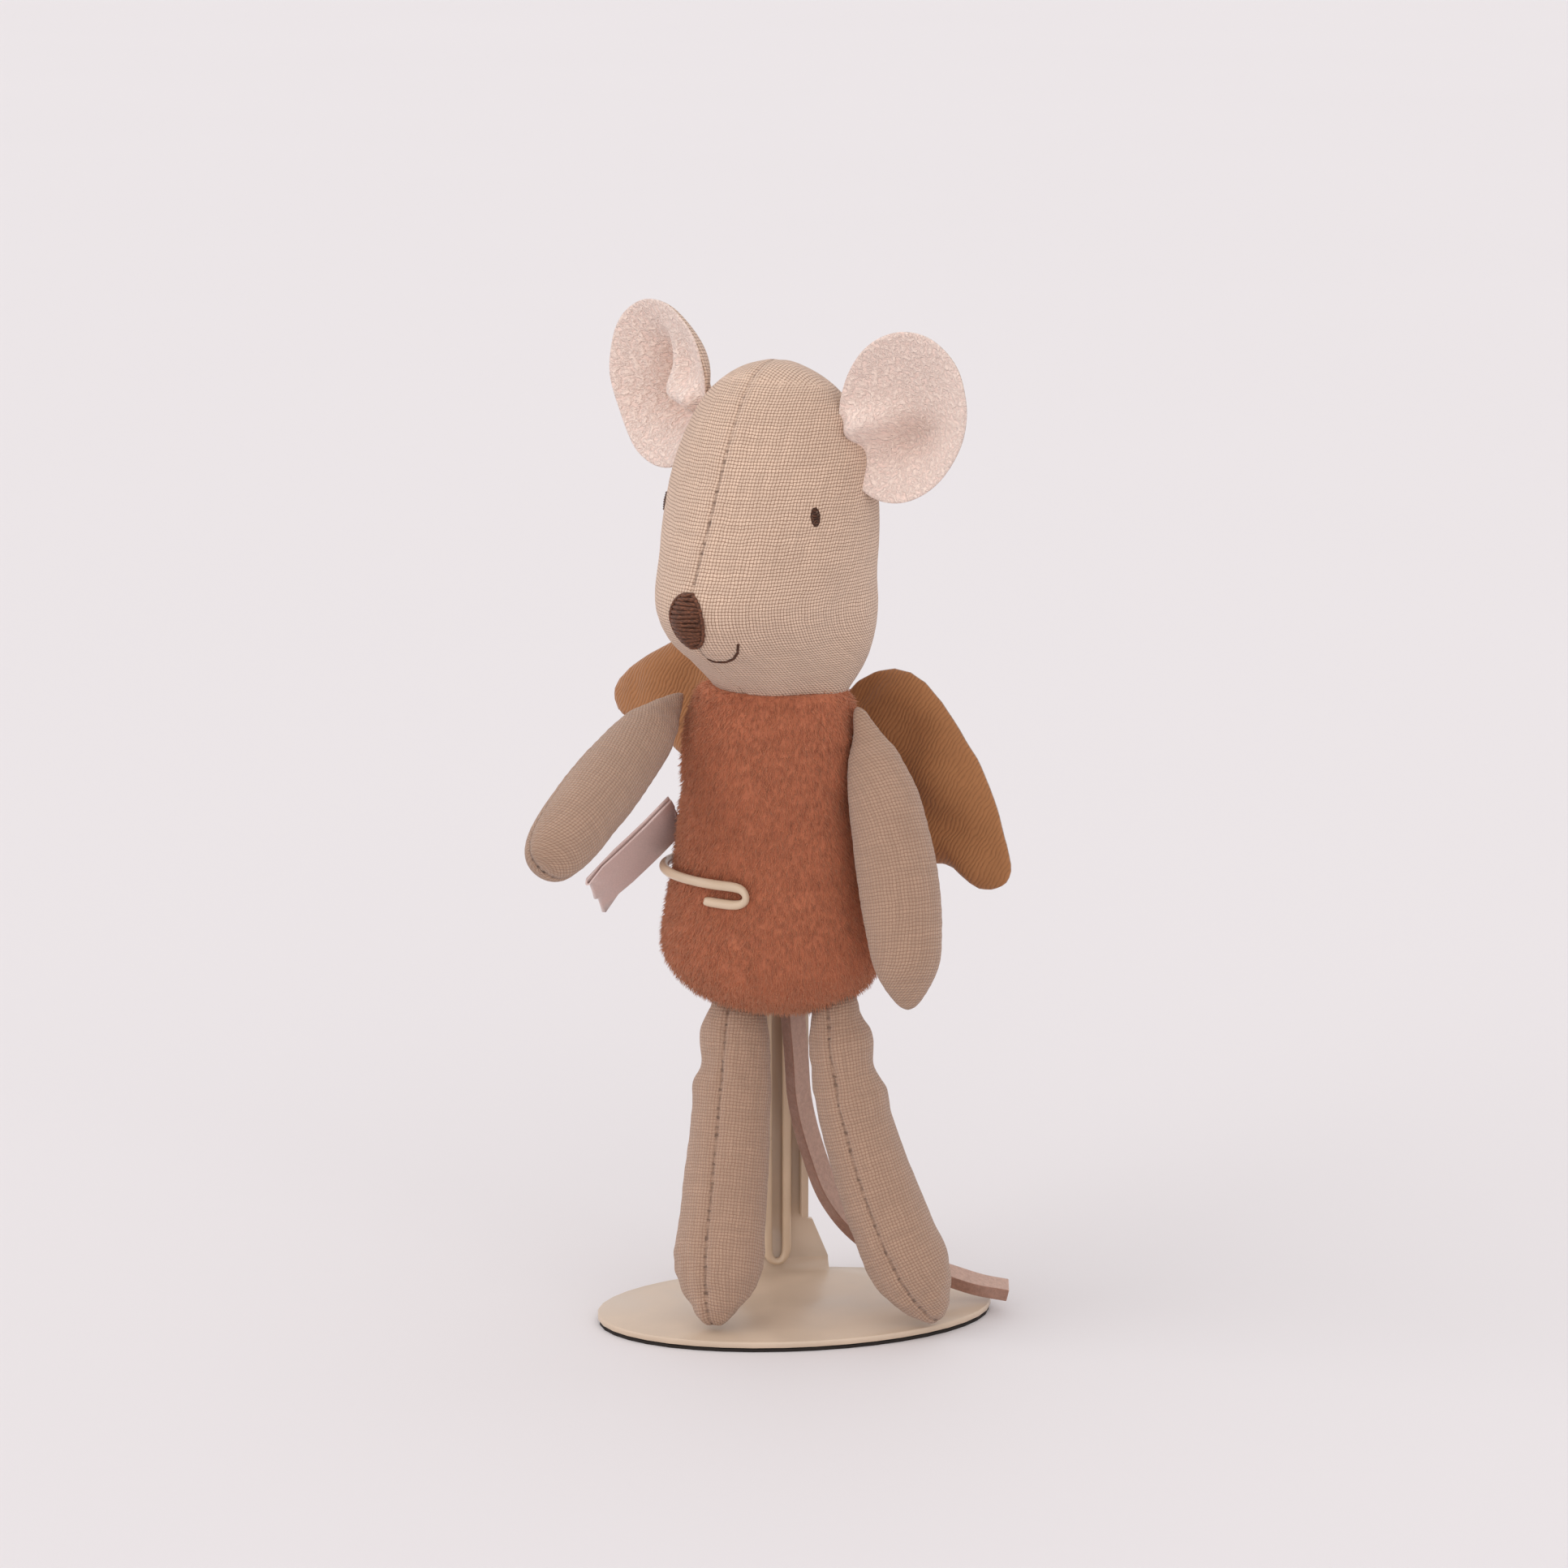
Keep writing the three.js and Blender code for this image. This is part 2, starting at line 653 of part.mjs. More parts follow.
const LINEN_COLOUR = 0xc2a894;
const TWILL_COLOUR = 0xab7e5b;
const PAINT_COLOUR = 0xc8ae98;
const STUFFING_COLOUR = 0xefe9df;
const THREAD_COLOUR = 0x4a2f22;

const stand = new THREE.Group();
stand.rotation.z = STAND_TURN;
stand.add(piece('base_pad', basePad(), 0x241f1c, 0.9));
stand.add(piece('stand_plate', standPlate(), PAINT_COLOUR, 0.4));

const mouse = new THREE.Group();
mouse.position.x = MOUSE_X;
mouse.add(piece('wire_clip', wireClip(), 0xb79d88, 0.35, 0.2));
mouse.add(piece('body_front_panel', bodyPanel(-1), 0x9d674f, 0.95));
mouse.add(piece('body_back_panel', bodyPanel(1), 0x9d674f, 0.95));
mouse.add(piece('body_stuffing', bodyStuffing(), STUFFING_COLOUR, 1));
mouse.add(piece('tail', tail(), 0xb08f7d, 0.85));
mouse.add(piece('care_label', careLabel(), 0xf2eeea, 0.5));

const head = new THREE.Group();
head.rotation.z = HEAD_TURN;
head.add(piece('head_stuffing', headStuffing(), STUFFING_COLOUR, 1));
head.add(piece('nose_embroidery', nose(), THREAD_COLOUR, 0.5));
head.add(piece('mouth_stitch', mouth(), THREAD_COLOUR, 0.6));
mouse.add(head);

for (const [name, side] of [['right', -1], ['left', 1]]) {
  head.add(piece(`head_panel_${name}`, headPanel(side), LINEN_COLOUR, 0.9));
  head.add(piece(`eye_${name}`, eye(side), THREAD_COLOUR, 0.6));
  head.add(piece(`ear_${name}_front`, earLayer(side, 0), 0xe0c4ba, 0.95));
  head.add(piece(`ear_${name}_back`, earLayer(side, 1), LINEN_COLOUR, 0.9));
  mouse.add(piece(`wing_${name}_front`, wingLayer(side, 0), TWILL_COLOUR, 0.85));
  mouse.add(piece(`wing_${name}_back`, wingLayer(side, 1), 0x8f8a86, 0.9));
  const { cover: sleeve, stuffing: armFill } = arm(side);
  mouse.add(piece(`arm_${name}_cover`, sleeve, LINEN_COLOUR, 0.9));
  mouse.add(piece(`arm_${name}_stuffing`, armFill, STUFFING_COLOUR, 1));
  const { cover: stocking, stuffing: legFill } = leg(side);
  mouse.add(piece(`leg_${name}_cover`, stocking, LINEN_COLOUR, 0.9));
  mouse.add(piece(`leg_${name}_stuffing`, legFill, STUFFING_COLOUR, 1));
}

const part = new THREE.Group();
part.add(stand, mouse);
export default part;
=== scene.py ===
"""A stuffed linen mouse with cloth wings, held at the waist by a wire clip on a sheet-metal stand."""

import json
import math

import bmesh
import bpy
import numpy as np
from mathutils import Matrix, Vector, geometry, noise
from mathutils.bvhtree import BVHTree


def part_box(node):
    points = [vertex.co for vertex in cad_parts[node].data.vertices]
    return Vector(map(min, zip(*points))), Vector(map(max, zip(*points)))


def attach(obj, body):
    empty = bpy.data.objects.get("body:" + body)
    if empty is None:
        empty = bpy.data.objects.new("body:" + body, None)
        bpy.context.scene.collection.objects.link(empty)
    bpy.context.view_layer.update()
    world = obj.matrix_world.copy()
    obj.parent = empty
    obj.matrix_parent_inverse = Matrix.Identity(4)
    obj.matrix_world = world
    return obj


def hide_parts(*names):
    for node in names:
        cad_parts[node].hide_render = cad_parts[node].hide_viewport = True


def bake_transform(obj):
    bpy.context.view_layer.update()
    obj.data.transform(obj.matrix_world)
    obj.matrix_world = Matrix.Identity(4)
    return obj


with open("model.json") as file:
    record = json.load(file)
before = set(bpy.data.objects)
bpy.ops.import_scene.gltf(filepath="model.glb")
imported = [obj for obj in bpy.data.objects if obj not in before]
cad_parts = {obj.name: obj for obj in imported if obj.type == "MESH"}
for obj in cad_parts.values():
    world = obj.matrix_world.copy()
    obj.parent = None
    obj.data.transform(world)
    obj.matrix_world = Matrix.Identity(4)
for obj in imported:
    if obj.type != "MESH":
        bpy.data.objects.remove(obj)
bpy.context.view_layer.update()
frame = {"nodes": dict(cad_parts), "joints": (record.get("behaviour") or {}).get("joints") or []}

bl_info = {
    "name": "Linen Mouse on a Stand",
    "version": (1, 0, 0),
    "blender": (4, 5, 0),
    "location": "View3D > Sidebar > Linen Mouse",
    "description": "Builds a stuffed linen mouse with cloth wings on its display stand",
    "category": "Object",
}

MM = 0.001
UP = Vector((0, 0, 1))
FRONT = Vector((0, -1, 0))
JOINTS = {joint["name"]: Vector(joint["pos_m"]) for joint in frame["joints"] if joint.get("pos_m")}
NECK = JOINTS["head_turn"]
HEAD_TURN = math.radians(-10)
HEAD_PLACE = Matrix.Translation((NECK.x, 0, 0)) @ Matrix.Rotation(HEAD_TURN, 4, "Z")
HEAD_FRONT = (HEAD_PLACE.to_3x3() @ FRONT).normalized()
MOUSE_PLACE = Matrix.Translation((NECK.x, 0, 0))
SIM_SCALE = 20  # the cloth solver is steadier on a form of cushion size
SIM_PRESSURE = 4.0
SIM_FRAMES = 20


# Sizes and colours


def paint(code):
    """A colour from its six-digit code, as scene values."""
    channels = [(code >> shift & 255) / 255 for shift in (16, 8, 0)]
    return tuple(c / 12.92 if c <= 0.04045 else ((c + 0.055) / 1.055) ** 2.4 for c in channels)


def shade(colour, share):
    """A colour made darker, or lighter where the share is over 1."""
    return [min(1, channel * share) for channel in colour]


def mm(x, y, z):
    """A place given in millimetres."""
    return Vector((x, y, z)) * MM


def length_property(name, description, millimetres):
    return bpy.props.FloatProperty(
        name=name,
        description=description,
        default=millimetres * MM,
        subtype="DISTANCE",
        unit="LENGTH",
        precision=5,
    )


def colour_property(name, description, code):
    return bpy.props.FloatVectorProperty(
        name=name, description=description, default=paint(code), subtype="COLOR", size=3, min=0, max=1
    )


class LinenMouseSizes(bpy.types.PropertyGroup):
    """Sizes that change how the mouse is sewn."""

    linen_pitch: length_property("Linen pitch", "From one linen thread to the next", 0.36)
    twill_pitch: length_property("Twill pitch", "From one twill rib to the next", 0.42)
    seam_depth: length_property("Seam depth", "How far a seam pulls the cloth in", 0.22)
    seam_width: length_property("Seam width", "How wide a seam's groove is to each side", 0.45)
    pile_length: length_property("Pile length", "Length of the plush's fibres", 0.85)
    pile_width: length_property("Pile width", "Width of one tuft of fibres at its root", 0.13)
    ear_width: length_property("Ear width", "Across an ear", 14.6)
    ear_height: length_property("Ear height", "From the bottom of an ear to its top", 18.4)
    tail_width: length_property("Tail width", "Across the strip of suede", 2.4)
    tail_thickness: length_property("Tail thickness", "Through the strip of suede", 1.5)
    arm_width: length_property("Arm width", "Across an arm near its paw", 8.8)
    leg_width: length_property("Leg width", "Across a leg near its foot", 10.3)


class LinenMouseColours(bpy.types.PropertyGroup):
    """Colours of the cloths, threads and paints."""

    linen: colour_property("Linen", "Natural linen of the head and limbs", 0xDDBFA8)
    # Limb linen: the head's linen painted darker, as painted shade for the shade that falls on the arms and
    # legs
    shaded_limb_linen: colour_property("Limb linen", "The slightly darker linen of the arms and legs", 0xB0907A)
    # Linen gaps: painted shade in the hollows between the linen's threads
    linen_gap_shade: colour_property("Linen gaps", "Between the linen's threads", 0x96735D)
    plush: colour_property("Plush", "Pile of the body", 0xC97D5B)
    plush_tip: colour_property("Plush tips", "Shine of the pile where it is seen edge on", 0xF6C3A4)
    # Plush roots also darken the backing, as painted shade under the pile
    plush_root: colour_property("Plush roots", "Backing and lower pile", 0xA8644A)
    thread: colour_property("Thread", "Embroidery of the nose and eyes", 0x5C3623)
    seam_thread: colour_property("Seam thread", "Stitches in the seams", 0x6A5040)
    ear_pink: colour_property("Ear pink", "Brushed cotton in the ears", 0xFCDDD0)
    twill: colour_property("Twill", "Front of the wings", 0xA26E46)
    backing: colour_property("Wing backing", "Printed cotton behind the wings", 0xA39A8E)
    backing_mark: colour_property("Wing backing marks", "Small checks printed on it", 0x4A5058)
    suede: colour_property("Suede", "Brushed faces of the tail", 0xCDAA9A)
    suede_edge: colour_property("Suede edge", "Cut edges of the tail", 0xA47A68)
    ribbon: colour_property("Ribbon", "Folded label in the side seam", 0xD3B8B1)
    stand_paint: colour_property("Stand paint", "Satin paint of the sheet metal", 0xCAB49E)
    wire_paint: colour_property("Wire paint", "Satin paint of the wire", 0xCFB79D)
    # The pad's near-black colour is painted shade: the thin sheet under the base stands for the contact
    # shadow along the rim
    pad: colour_property("Pad", "Thin backing under the base", 0x2A2421)
    floor: colour_property("Floor", "Floor and backdrop", 0xE4E0E1)
    daylight: colour_property("Daylight", "Light from all round", 0xFEFBFC)


def sizes():
    return bpy.context.scene.linen_mouse_sizes


def colours():
    return bpy.context.scene.linen_mouse_colours


# Finishes


class Finish:
    """A procedural material while its nodes are put together."""

    def __init__(self, name, roughness, **sockets):
        self.material = bpy.data.materials.new(name)
        self.material.use_nodes = True
        self.tree = self.material.node_tree
        self.shader = self.tree.nodes["Principled BSDF"]
        self.shader.inputs["Roughness"].default_value = roughness
        for socket, value in sockets.items():
            self.shader.inputs[socket.replace("_", " ")].default_value = value

    def put(self, socket, value):
        """Links a value to a socket, or sets it there."""
        if isinstance(value, bpy.types.NodeSocket):
            self.tree.links.new(value, socket)
        elif socket.type == "RGBA":
            socket.default_value = (*value, 1) if len(value) == 3 else value
        else:
            socket.default_value = value

    def node(self, kind, inputs=(), output=0, **settings):
        made = self.tree.nodes.new(kind)
        for key, value in settings.items():
            setattr(made, key, value)
        for index, value in dict(inputs).items():
            self.put(made.inputs[index], value)
        return made.outputs[output]

    def math(self, operation, first, second=0.0):
        return self.node("ShaderNodeMath", {0: first, 1: second}, operation=operation)

    def object_mm(self):
        """Place in the object, in millimetres."""
        place = self.node("ShaderNodeTexCoord", output="Object")
        return self.node("ShaderNodeVectorMath", {0: place, "Scale": 1000.0}, operation="SCALE")

    def cloth_mm(self):
        """Place on the cloth, in millimetres."""
        return self.node("ShaderNodeUVMap", uv_map="cloth")

    def attribute(self, name):
        return self.node("ShaderNodeAttribute", attribute_name=name, output="Fac")

    def parts(self, vector):
        """A vector's x, y and z."""
        self.node("ShaderNodeSeparateXYZ", {0: vector})
        return self.tree.nodes[-1].outputs

    def stretch(self, vector, scale, turn=0.0):
        return self.node("ShaderNodeMapping", {0: vector, "Rotation": (0, 0, turn), "Scale": scale})

    def noise(self, vector, scale, detail=2.0, rough=0.5):
        inputs = {"Vector": vector, "Scale": scale, "Detail": detail, "Roughness": rough}
        return self.node("ShaderNodeTexNoise", inputs)

    def band(self, value, low, high, start=0.0, end=1.0):
        """Maps a value between two limits smoothly onto start to end."""
        inputs = {0: value, 1: low, 2: high, 3: start, 4: end}
        return self.node("ShaderNodeMapRange", inputs, interpolation_type="SMOOTHSTEP")

    def mix(self, share, first, second):
        return self.node("ShaderNodeMix", {0: share, 6: first, 7: second}, output=2, data_type="RGBA")

    def blend(self, share, first, second):
        return self.node("ShaderNodeMix", {0: share, 2: first, 3: second}, output=0, data_type="FLOAT")

    def bump(self, height, distance, strength=1.0, under=None):
        inputs = {"Height": height, "Distance": distance, "Strength": strength}
        if under is not None:
            inputs["Normal"] = under
        return self.node("ShaderNodeBump", inputs)

    def done(self, colour, normal=None):
        self.put(self.shader.inputs["Base Color"], colour)
        if normal is not None:
            self.put(self.shader.inputs["Normal"], normal)
        return self.material


def weave(finish, cloth, pitch):
    """Height of a plain weave: threads that pass over and under each other, of uneven thickness."""
    wander = finish.node("ShaderNodeTexNoise", {"Vector": cloth, "Scale": 0.55, "Detail": 3.0}, output=1)
    wander = finish.node("ShaderNodeVectorMath", {0: wander, "Scale": pitch * 1.1}, operation="SCALE")
    moved = finish.node("ShaderNodeVectorMath", {0: cloth, 1: wander}, operation="ADD")
    across, along, _ = finish.parts(moved)
    cells = [finish.math("DIVIDE", value, pitch) for value in (across, along)]
    waves = [finish.math("SINE", finish.math("MULTIPLY", cell, math.pi)) for cell in cells]
    ridges = [finish.math("ABSOLUTE", wave) for wave in waves]
    floors = [finish.math("FLOOR", cell) for cell in cells]
    over = finish.math("PINGPONG", finish.math("ADD", *floors), 1.0)
    flat = [finish.math("POWER", ridge, 0.35) for ridge in ridges]
    warp = finish.math("MULTIPLY", flat[0], ridges[1])
    weft = finish.math("MULTIPLY", ridges[0], flat[1])
    return finish.blend(over, warp, weft)


def stitched(finish, cloth, colour, height, shown=1.0):
    """Adds the faint dark line of a seam and, here and there, the pricks of its stitches."""
    away = finish.attribute("from_seam")
    line = finish.band(away, 0.04, 0.17, 1.0, 0.0)
    along = finish.parts(cloth)[1]
    unsteady = finish.noise(cloth, 0.8)
    patchy = finish.noise(finish.stretch(cloth, (0.3, 0.55, 1)), 1.0, 2.0)
    step = finish.math("FRACT", finish.math("DIVIDE", finish.math("ADD", along, unsteady), 1.05))
    close = finish.band(away, 0.1, 0.26, 1.0, 0.0)
    prick = finish.math("MULTIPLY", finish.band(step, 0.22, 0.36, 1.0, 0.0), close)
    prick = finish.math("MULTIPLY", prick, finish.band(patchy, 0.36, 0.56, 0.1, 0.9))
    faint = finish.math("MULTIPLY", line, finish.band(unsteady, 0.35, 0.65, 0.25, 0.75))
    dark = finish.math("MULTIPLY", finish.math("MAXIMUM", faint, prick), shown)
    lowered = finish.math("SUBTRACT", height, dark)
    return finish.mix(dark, colour, colours().seam_thread), lowered


def linen_finish(name, crown=False, seam=True, tint=None):
    """Natural linen in a plain weave, with slubs, painted shade between its threads, a little fuzz and its
    seams.
    """
    finish = Finish(name, 0.92, Sheen_Weight=0.25, Sheen_Roughness=0.6, Specular_IOR_Level=0.2)
    pitch = sizes().linen_pitch / MM
    cloth = finish.cloth_mm()
    height = weave(finish, cloth, pitch)
    shown = 1.0
    if crown:
        place = finish.stretch(finish.object_mm(), (1, 1, 1), -HEAD_TURN)
        upward = finish.parts(finish.node("ShaderNodeNewGeometry", output="Normal"))[2]
        height = finish.blend(finish.band(upward, 0.7, 0.85), height, weave(finish, place, pitch))
        level = finish.parts(place)[2]
        below_crown = finish.band(level, 92, 103, 1.0, 0.55)
        shown = finish.math("MULTIPLY", below_crown, finish.band(level, 74.5, 76.5))
    slub = finish.noise(finish.stretch(cloth, (2.6, 0.16, 1)), 1.0, 3.0)
    cross_slub = finish.noise(finish.stretch(cloth, (0.16, 2.6, 1)), 1.0, 3.0)
    uneven = finish.math("MULTIPLY", finish.math("ADD", slub, cross_slub), 0.5)
    patchy = finish.noise(finish.object_mm(), 0.12, 2.0)
    lit = tint or colours().linen
    bright = finish.mix(finish.band(uneven, 0.38, 0.62), shade(lit, 0.91), shade(lit, 1.08))
    bright = finish.mix(finish.band(patchy, 0.35, 0.7, 0.0, 0.3), bright, shade(lit, 0.88))
    # The low parts of the weave take the gap colour: painted shade between the threads
    colour = finish.mix(finish.band(height, 0.1, 0.62), colours().linen_gap_shade, bright)
    if seam:
        colour, height = stitched(finish, cloth, colour, height, shown)
    fuzz = finish.noise(finish.object_mm(), 9.0, 3.0)
    level = finish.math("ADD", height, finish.math("MULTIPLY", fuzz, 0.5))
    return finish.done(colour, finish.bump(level, 0.00009, 0.9))


def plush_finish(name, root):
    """Brushed pile: streaks along the lie of the fibres, lighter at the tips; the backing under the pile is
    painted darker, as painted shade.
    """
    finish = Finish(name, 0.85, Sheen_Weight=0.8, Sheen_Roughness=0.4, Specular_IOR_Level=0.2)
    finish.put(finish.shader.inputs["Sheen Tint"], colours().plush_tip)
    place = finish.object_mm()
    streak = finish.noise(finish.stretch(place, (2.4, 2.4, 0.9)), 1.0, 4.0, 0.65)
    clump = finish.noise(place, 0.3, 3.0)
    colour = finish.mix(finish.band(streak, 0.3, 0.6), colours().plush_root, colours().plush)
    lighter = shade(colours().plush, 1.3)
    colour = finish.mix(finish.band(clump, 0.42, 0.7, 0.0, 0.3), colour, lighter)
    # The backing is drawn towards the roots' colour: painted shade under the pile
    if root:
        colour = finish.mix(0.55, colour, colours().plush_root)
    return finish.done(colour, finish.bump(streak, 0.0003, 0.6))


def brushed_finish():
    """Pink cotton with a short raised nap."""
    finish = Finish(
        "brushed_pink_cotton", 0.95, Sheen_Weight=0.5, Sheen_Roughness=0.5, Specular_IOR_Level=0.15
    )
    cloth = finish.cloth_mm()
    grain = finish.noise(finish.stretch(cloth, (1.5, 4.5, 1)), 1.0, 4.0, 0.7)
    loops = finish.band(finish.noise(cloth, 1.9, 3.0, 0.6), 0.38, 0.62)
    pink = colours().ear_pink
    colour = finish.mix(finish.band(grain, 0.35, 0.65), shade(pink, 0.92), shade(pink, 1.08))
    colour = finish.mix(finish.math("MULTIPLY", loops, 0.35), colour, shade(pink, 1.2))
    level = finish.math("ADD", grain, finish.math("MULTIPLY", loops, 0.9))
    return finish.done(colour, finish.bump(level, 0.00026, 0.9))


def twill_finish():
    """Mustard twill: fine slanting ribs with painted shade between them, paler yarns, and darker patches here
    and there.
    """
    finish = Finish("mustard_twill", 0.8, Sheen_Weight=0.4, Sheen_Roughness=0.4, Specular_IOR_Level=0.25)
    pitch = sizes().twill_pitch / MM
    cloth = finish.stretch(finish.cloth_mm(), (1, 1, 1), math.radians(28))
    drift = finish.noise(cloth, 0.5, 2.0)
    across = finish.math("ADD", finish.parts(cloth)[0], drift)
    rib = finish.math("ABSOLUTE", finish.math("SINE", finish.math("MULTIPLY", across, math.pi / pitch)))
    yarn = finish.noise(finish.stretch(cloth, (5.0, 1.2, 1)), 1.0, 3.0)
    darker_patches = finish.noise(finish.object_mm(), 0.22, 3.0)
    base = colours().twill
    # The hollows between the ribs are painted darker: painted shade
    colour = finish.mix(finish.band(rib, 0.05, 0.75), shade(base, 0.78), base)
    colour = finish.mix(finish.band(yarn, 0.4, 0.7, 0.0, 0.5), colour, shade(base, 1.15))
    colour = finish.mix(finish.band(darker_patches, 0.4, 0.7, 0.0, 0.3), colour, shade(base, 0.8))
    return finish.done(colour, finish.bump(rib, 0.00007, 0.8))


def printed_finish():
    """Cotton with a plain check of small dark marks and painted shade between its threads, for the back of
    the wings.
    """
    finish = Finish("checked_cotton", 0.85, Sheen_Weight=0.2, Specular_IOR_Level=0.2)
    cloth = finish.cloth_mm()
    height = weave(finish, cloth, 0.26)
    across, along, _ = finish.parts(cloth)
    bars = [finish.math("PINGPONG", value, 1.3) for value in (across, along)]
    mark = finish.math("MULTIPLY", *[finish.band(bar, 0.28, 0.42, 1.0, 0.0) for bar in bars])
    base = colours().backing
    # The low parts of the weave are painted darker: painted shade between the threads
    colour = finish.mix(finish.band(height, 0.1, 0.6), shade(base, 0.7), base)
    colour = finish.mix(finish.math("MULTIPLY", mark, 0.85), colour, colours().backing_mark)
    return finish.done(colour, finish.bump(height, 0.00006, 0.8))


def suede_finish():
    """Suede with a soft nap, darker and flatter on its cut edges."""
    finish = Finish("suede", 0.9, Sheen_Weight=0.35, Sheen_Roughness=0.5, Specular_IOR_Level=0.15)
    place = finish.object_mm()
    nap = finish.noise(place, 2.2, 5.0, 0.7)
    cloud = finish.noise(place, 0.35, 2.0)
    edge = finish.attribute("cut_edge")
    face = finish.mix(finish.band(nap, 0.35, 0.7), shade(colours().suede, 0.82), colours().suede)
    cut = colours().suede_edge
    side = finish.mix(finish.band(nap, 0.35, 0.7), shade(cut, 0.78), cut)
    colour = finish.mix(finish.band(edge, 0.4, 0.6), face, side)
    colour = finish.mix(finish.band(cloud, 0.4, 0.7, 0.0, 0.25), colour, shade(colours().suede, 0.85))
    return finish.done(colour, finish.bump(nap, 0.0002, 0.7))


def embroidery_finish(name, colour):
    """Twisted embroidery thread with a soft painted sheen along it: its ply is painted lighter and darker,
    and raised in the bump.
    """
    finish = Finish(name, 0.5, Sheen_Weight=0.05, Specular_IOR_Level=0.3)
    place = finish.object_mm()
    ply_and_painted_sheen = finish.noise(finish.stretch(place, (3.0, 3.0, 9.0)), 1.0, 3.0)
    # Lit and shaded copies of the thread's colour: a painted highlight and painted shade along the ply
    lighter = shade(colour, 2.0)
    made = finish.mix(finish.band(ply_and_painted_sheen, 0.35, 0.72), shade(colour, 0.55), lighter)
    return finish.done(made, finish.bump(ply_and_painted_sheen, 0.00008, 0.6))


def painted_finish(name, colour, roughness):
    """Satin paint with a faint orange-peel and slightly rubbed patches."""
    finish = Finish(name, roughness, Specular_IOR_Level=0.5, Coat_Weight=0.15, Coat_Roughness=0.25)
    place = finish.object_mm()
    peel = finish.noise(place, 2.4, 2.0)
    rubbed = finish.noise(place, 0.15, 4.0)
    made = finish.mix(finish.band(rubbed, 0.35, 0.7), shade(colour, 0.95), shade(colour, 1.05))
    rough = finish.band(rubbed, 0.3, 0.7, roughness - 0.05, roughness + 0.07)
    finish.put(finish.shader.inputs["Roughness"], rough)
    return finish.done(made, finish.bump(peel, 0.00002, 0.35))


def rim_shadow_pad_finish():
    # A near-black sheet with a grain, standing for the contact shadow under the base's rim: painted shade
    finish = Finish("backing_pad", 0.9, Specular_IOR_Level=0.3)
    grain = finish.noise(finish.object_mm(), 5.0, 3.0)
    base = colours().pad
    colour = finish.mix(grain, shade(base, 0.7), shade(base, 1.3))
    return finish.done(colour, finish.bump(grain, 0.00005, 0.5))


def ribbon_finish():
    """Satin ribbon: fine lengthwise floats and a soft crease, with nothing printed on it."""
    finish = Finish("satin_ribbon", 0.42, Sheen_Weight=0.3, Specular_IOR_Level=0.5)
    place = finish.object_mm()
    floats = finish.noise(finish.stretch(place, (6.0, 6.0, 6.0)), 1.0, 2.0)
    crease = finish.noise(place, 0.4, 2.0)
    base = colours().ribbon
    made = finish.mix(finish.band(floats, 0.3, 0.7), shade(base, 0.88), base)
    return finish.done(made, finish.bump(finish.math("ADD", floats, crease), 0.00006, 0.5))


# Shapes


def object_from(bm, name, smooth=True):
    """A new object at the origin from a bmesh, which is used up."""
    mesh = bpy.data.meshes.new(name)
    for face in bm.faces:
        face.smooth = smooth
    bm.to_mesh(mesh)
    bm.free()
    made = bpy.data.objects.new(name, mesh)
    bpy.context.scene.collection.objects.link(made)
    return made


def merged_copy(*nodes):
    """The meshes of some CAD nodes in one bmesh, with their loose triangles joined up."""
    bm = bmesh.new()
    for node in nodes:
        bm.from_mesh(frame["nodes"][node].data)
    bmesh.ops.remove_doubles(bm, verts=bm.verts, dist=0.002 * MM)
    return bm


def bake_modifiers(thing):
    """Replaces the object's mesh by what its modifiers make of it."""
    depsgraph = bpy.context.evaluated_depsgraph_get()
    baked = bpy.data.meshes.new_from_object(thing.evaluated_get(depsgraph))
    thing.modifiers.clear()
    thing.data = baked
    return thing


def subdivide(thing, levels=1):
    modifier = thing.modifiers.new("smooth", "SUBSURF")
    modifier.levels = levels
    modifier.render_levels = levels
    return bake_modifiers(thing)


def place_piece(thing, material, body=None, replaces=()):
    """Gives a finished piece its material, hides the CAD parts it replaces and hangs it on the body that
    carries it.
    """
    thing.data.materials.clear()
    thing.data.materials.append(material)
    if replaces:
        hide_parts(*replaces)
    if body:
        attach(thing, body)
    return thing


def smooth_step(value, low, high):
    share = min(1.0, max(0.0, (value - low) / (high - low)))
    return share * share * (3 - 2 * share)


def bell(value, width):
    """One at nought, falling smoothly away to either side."""
    return math.exp(-((value / width) ** 2))


class Route:
    """A smooth line with places at even shares of its length."""

    def __init__(self, start, pull, end):
        first = start.lerp(pull, 2 / 3)
        second = end.lerp(pull, 2 / 3)
        self.points = geometry.interpolate_bezier(start, first, second, end, 65)
        steps = [(b - a).length for a, b in zip(self.points, self.points[1:])]
        self.reached = np.concatenate([[0], np.cumsum(steps)])
        self.length = float(self.reached[-1])

    def at(self, share):
        """The place and the direction at a share of the length."""
        distance = min(max(share, 0), 1) * self.length
        index = min(int(np.searchsorted(self.reached, distance, side="right")) - 1, len(self.points) - 2)
        a, b = self.points[index], self.points[index + 1]
        return a.lerp(b, (distance - self.reached[index]) / (b - a).length), (b - a).normalized()


def row_at(rows, share):
    """Half width and reaches at a share of a form's length, smoothly between its rows."""
    table = np.array(rows, float)
    keys, values = table[:, 0], table[:, 1:]
    key = keys[0] + (keys[-1] - keys[0]) * share
    slopes = np.gradient(values, keys, axis=0)
    index = min(max(int(np.searchsorted(keys, key)) - 1, 0), len(keys) - 2)
    span = keys[index + 1] - keys[index]
    t = (key - keys[index]) / span
    start = (1 + 2 * t) * (1 - t) ** 2 * values[index] + t * (1 - t) ** 2 * span * slopes[index]
    return start + t * t * (3 - 2 * t) * values[index + 1] + t * t * (t - 1) * span * slopes[index + 1]


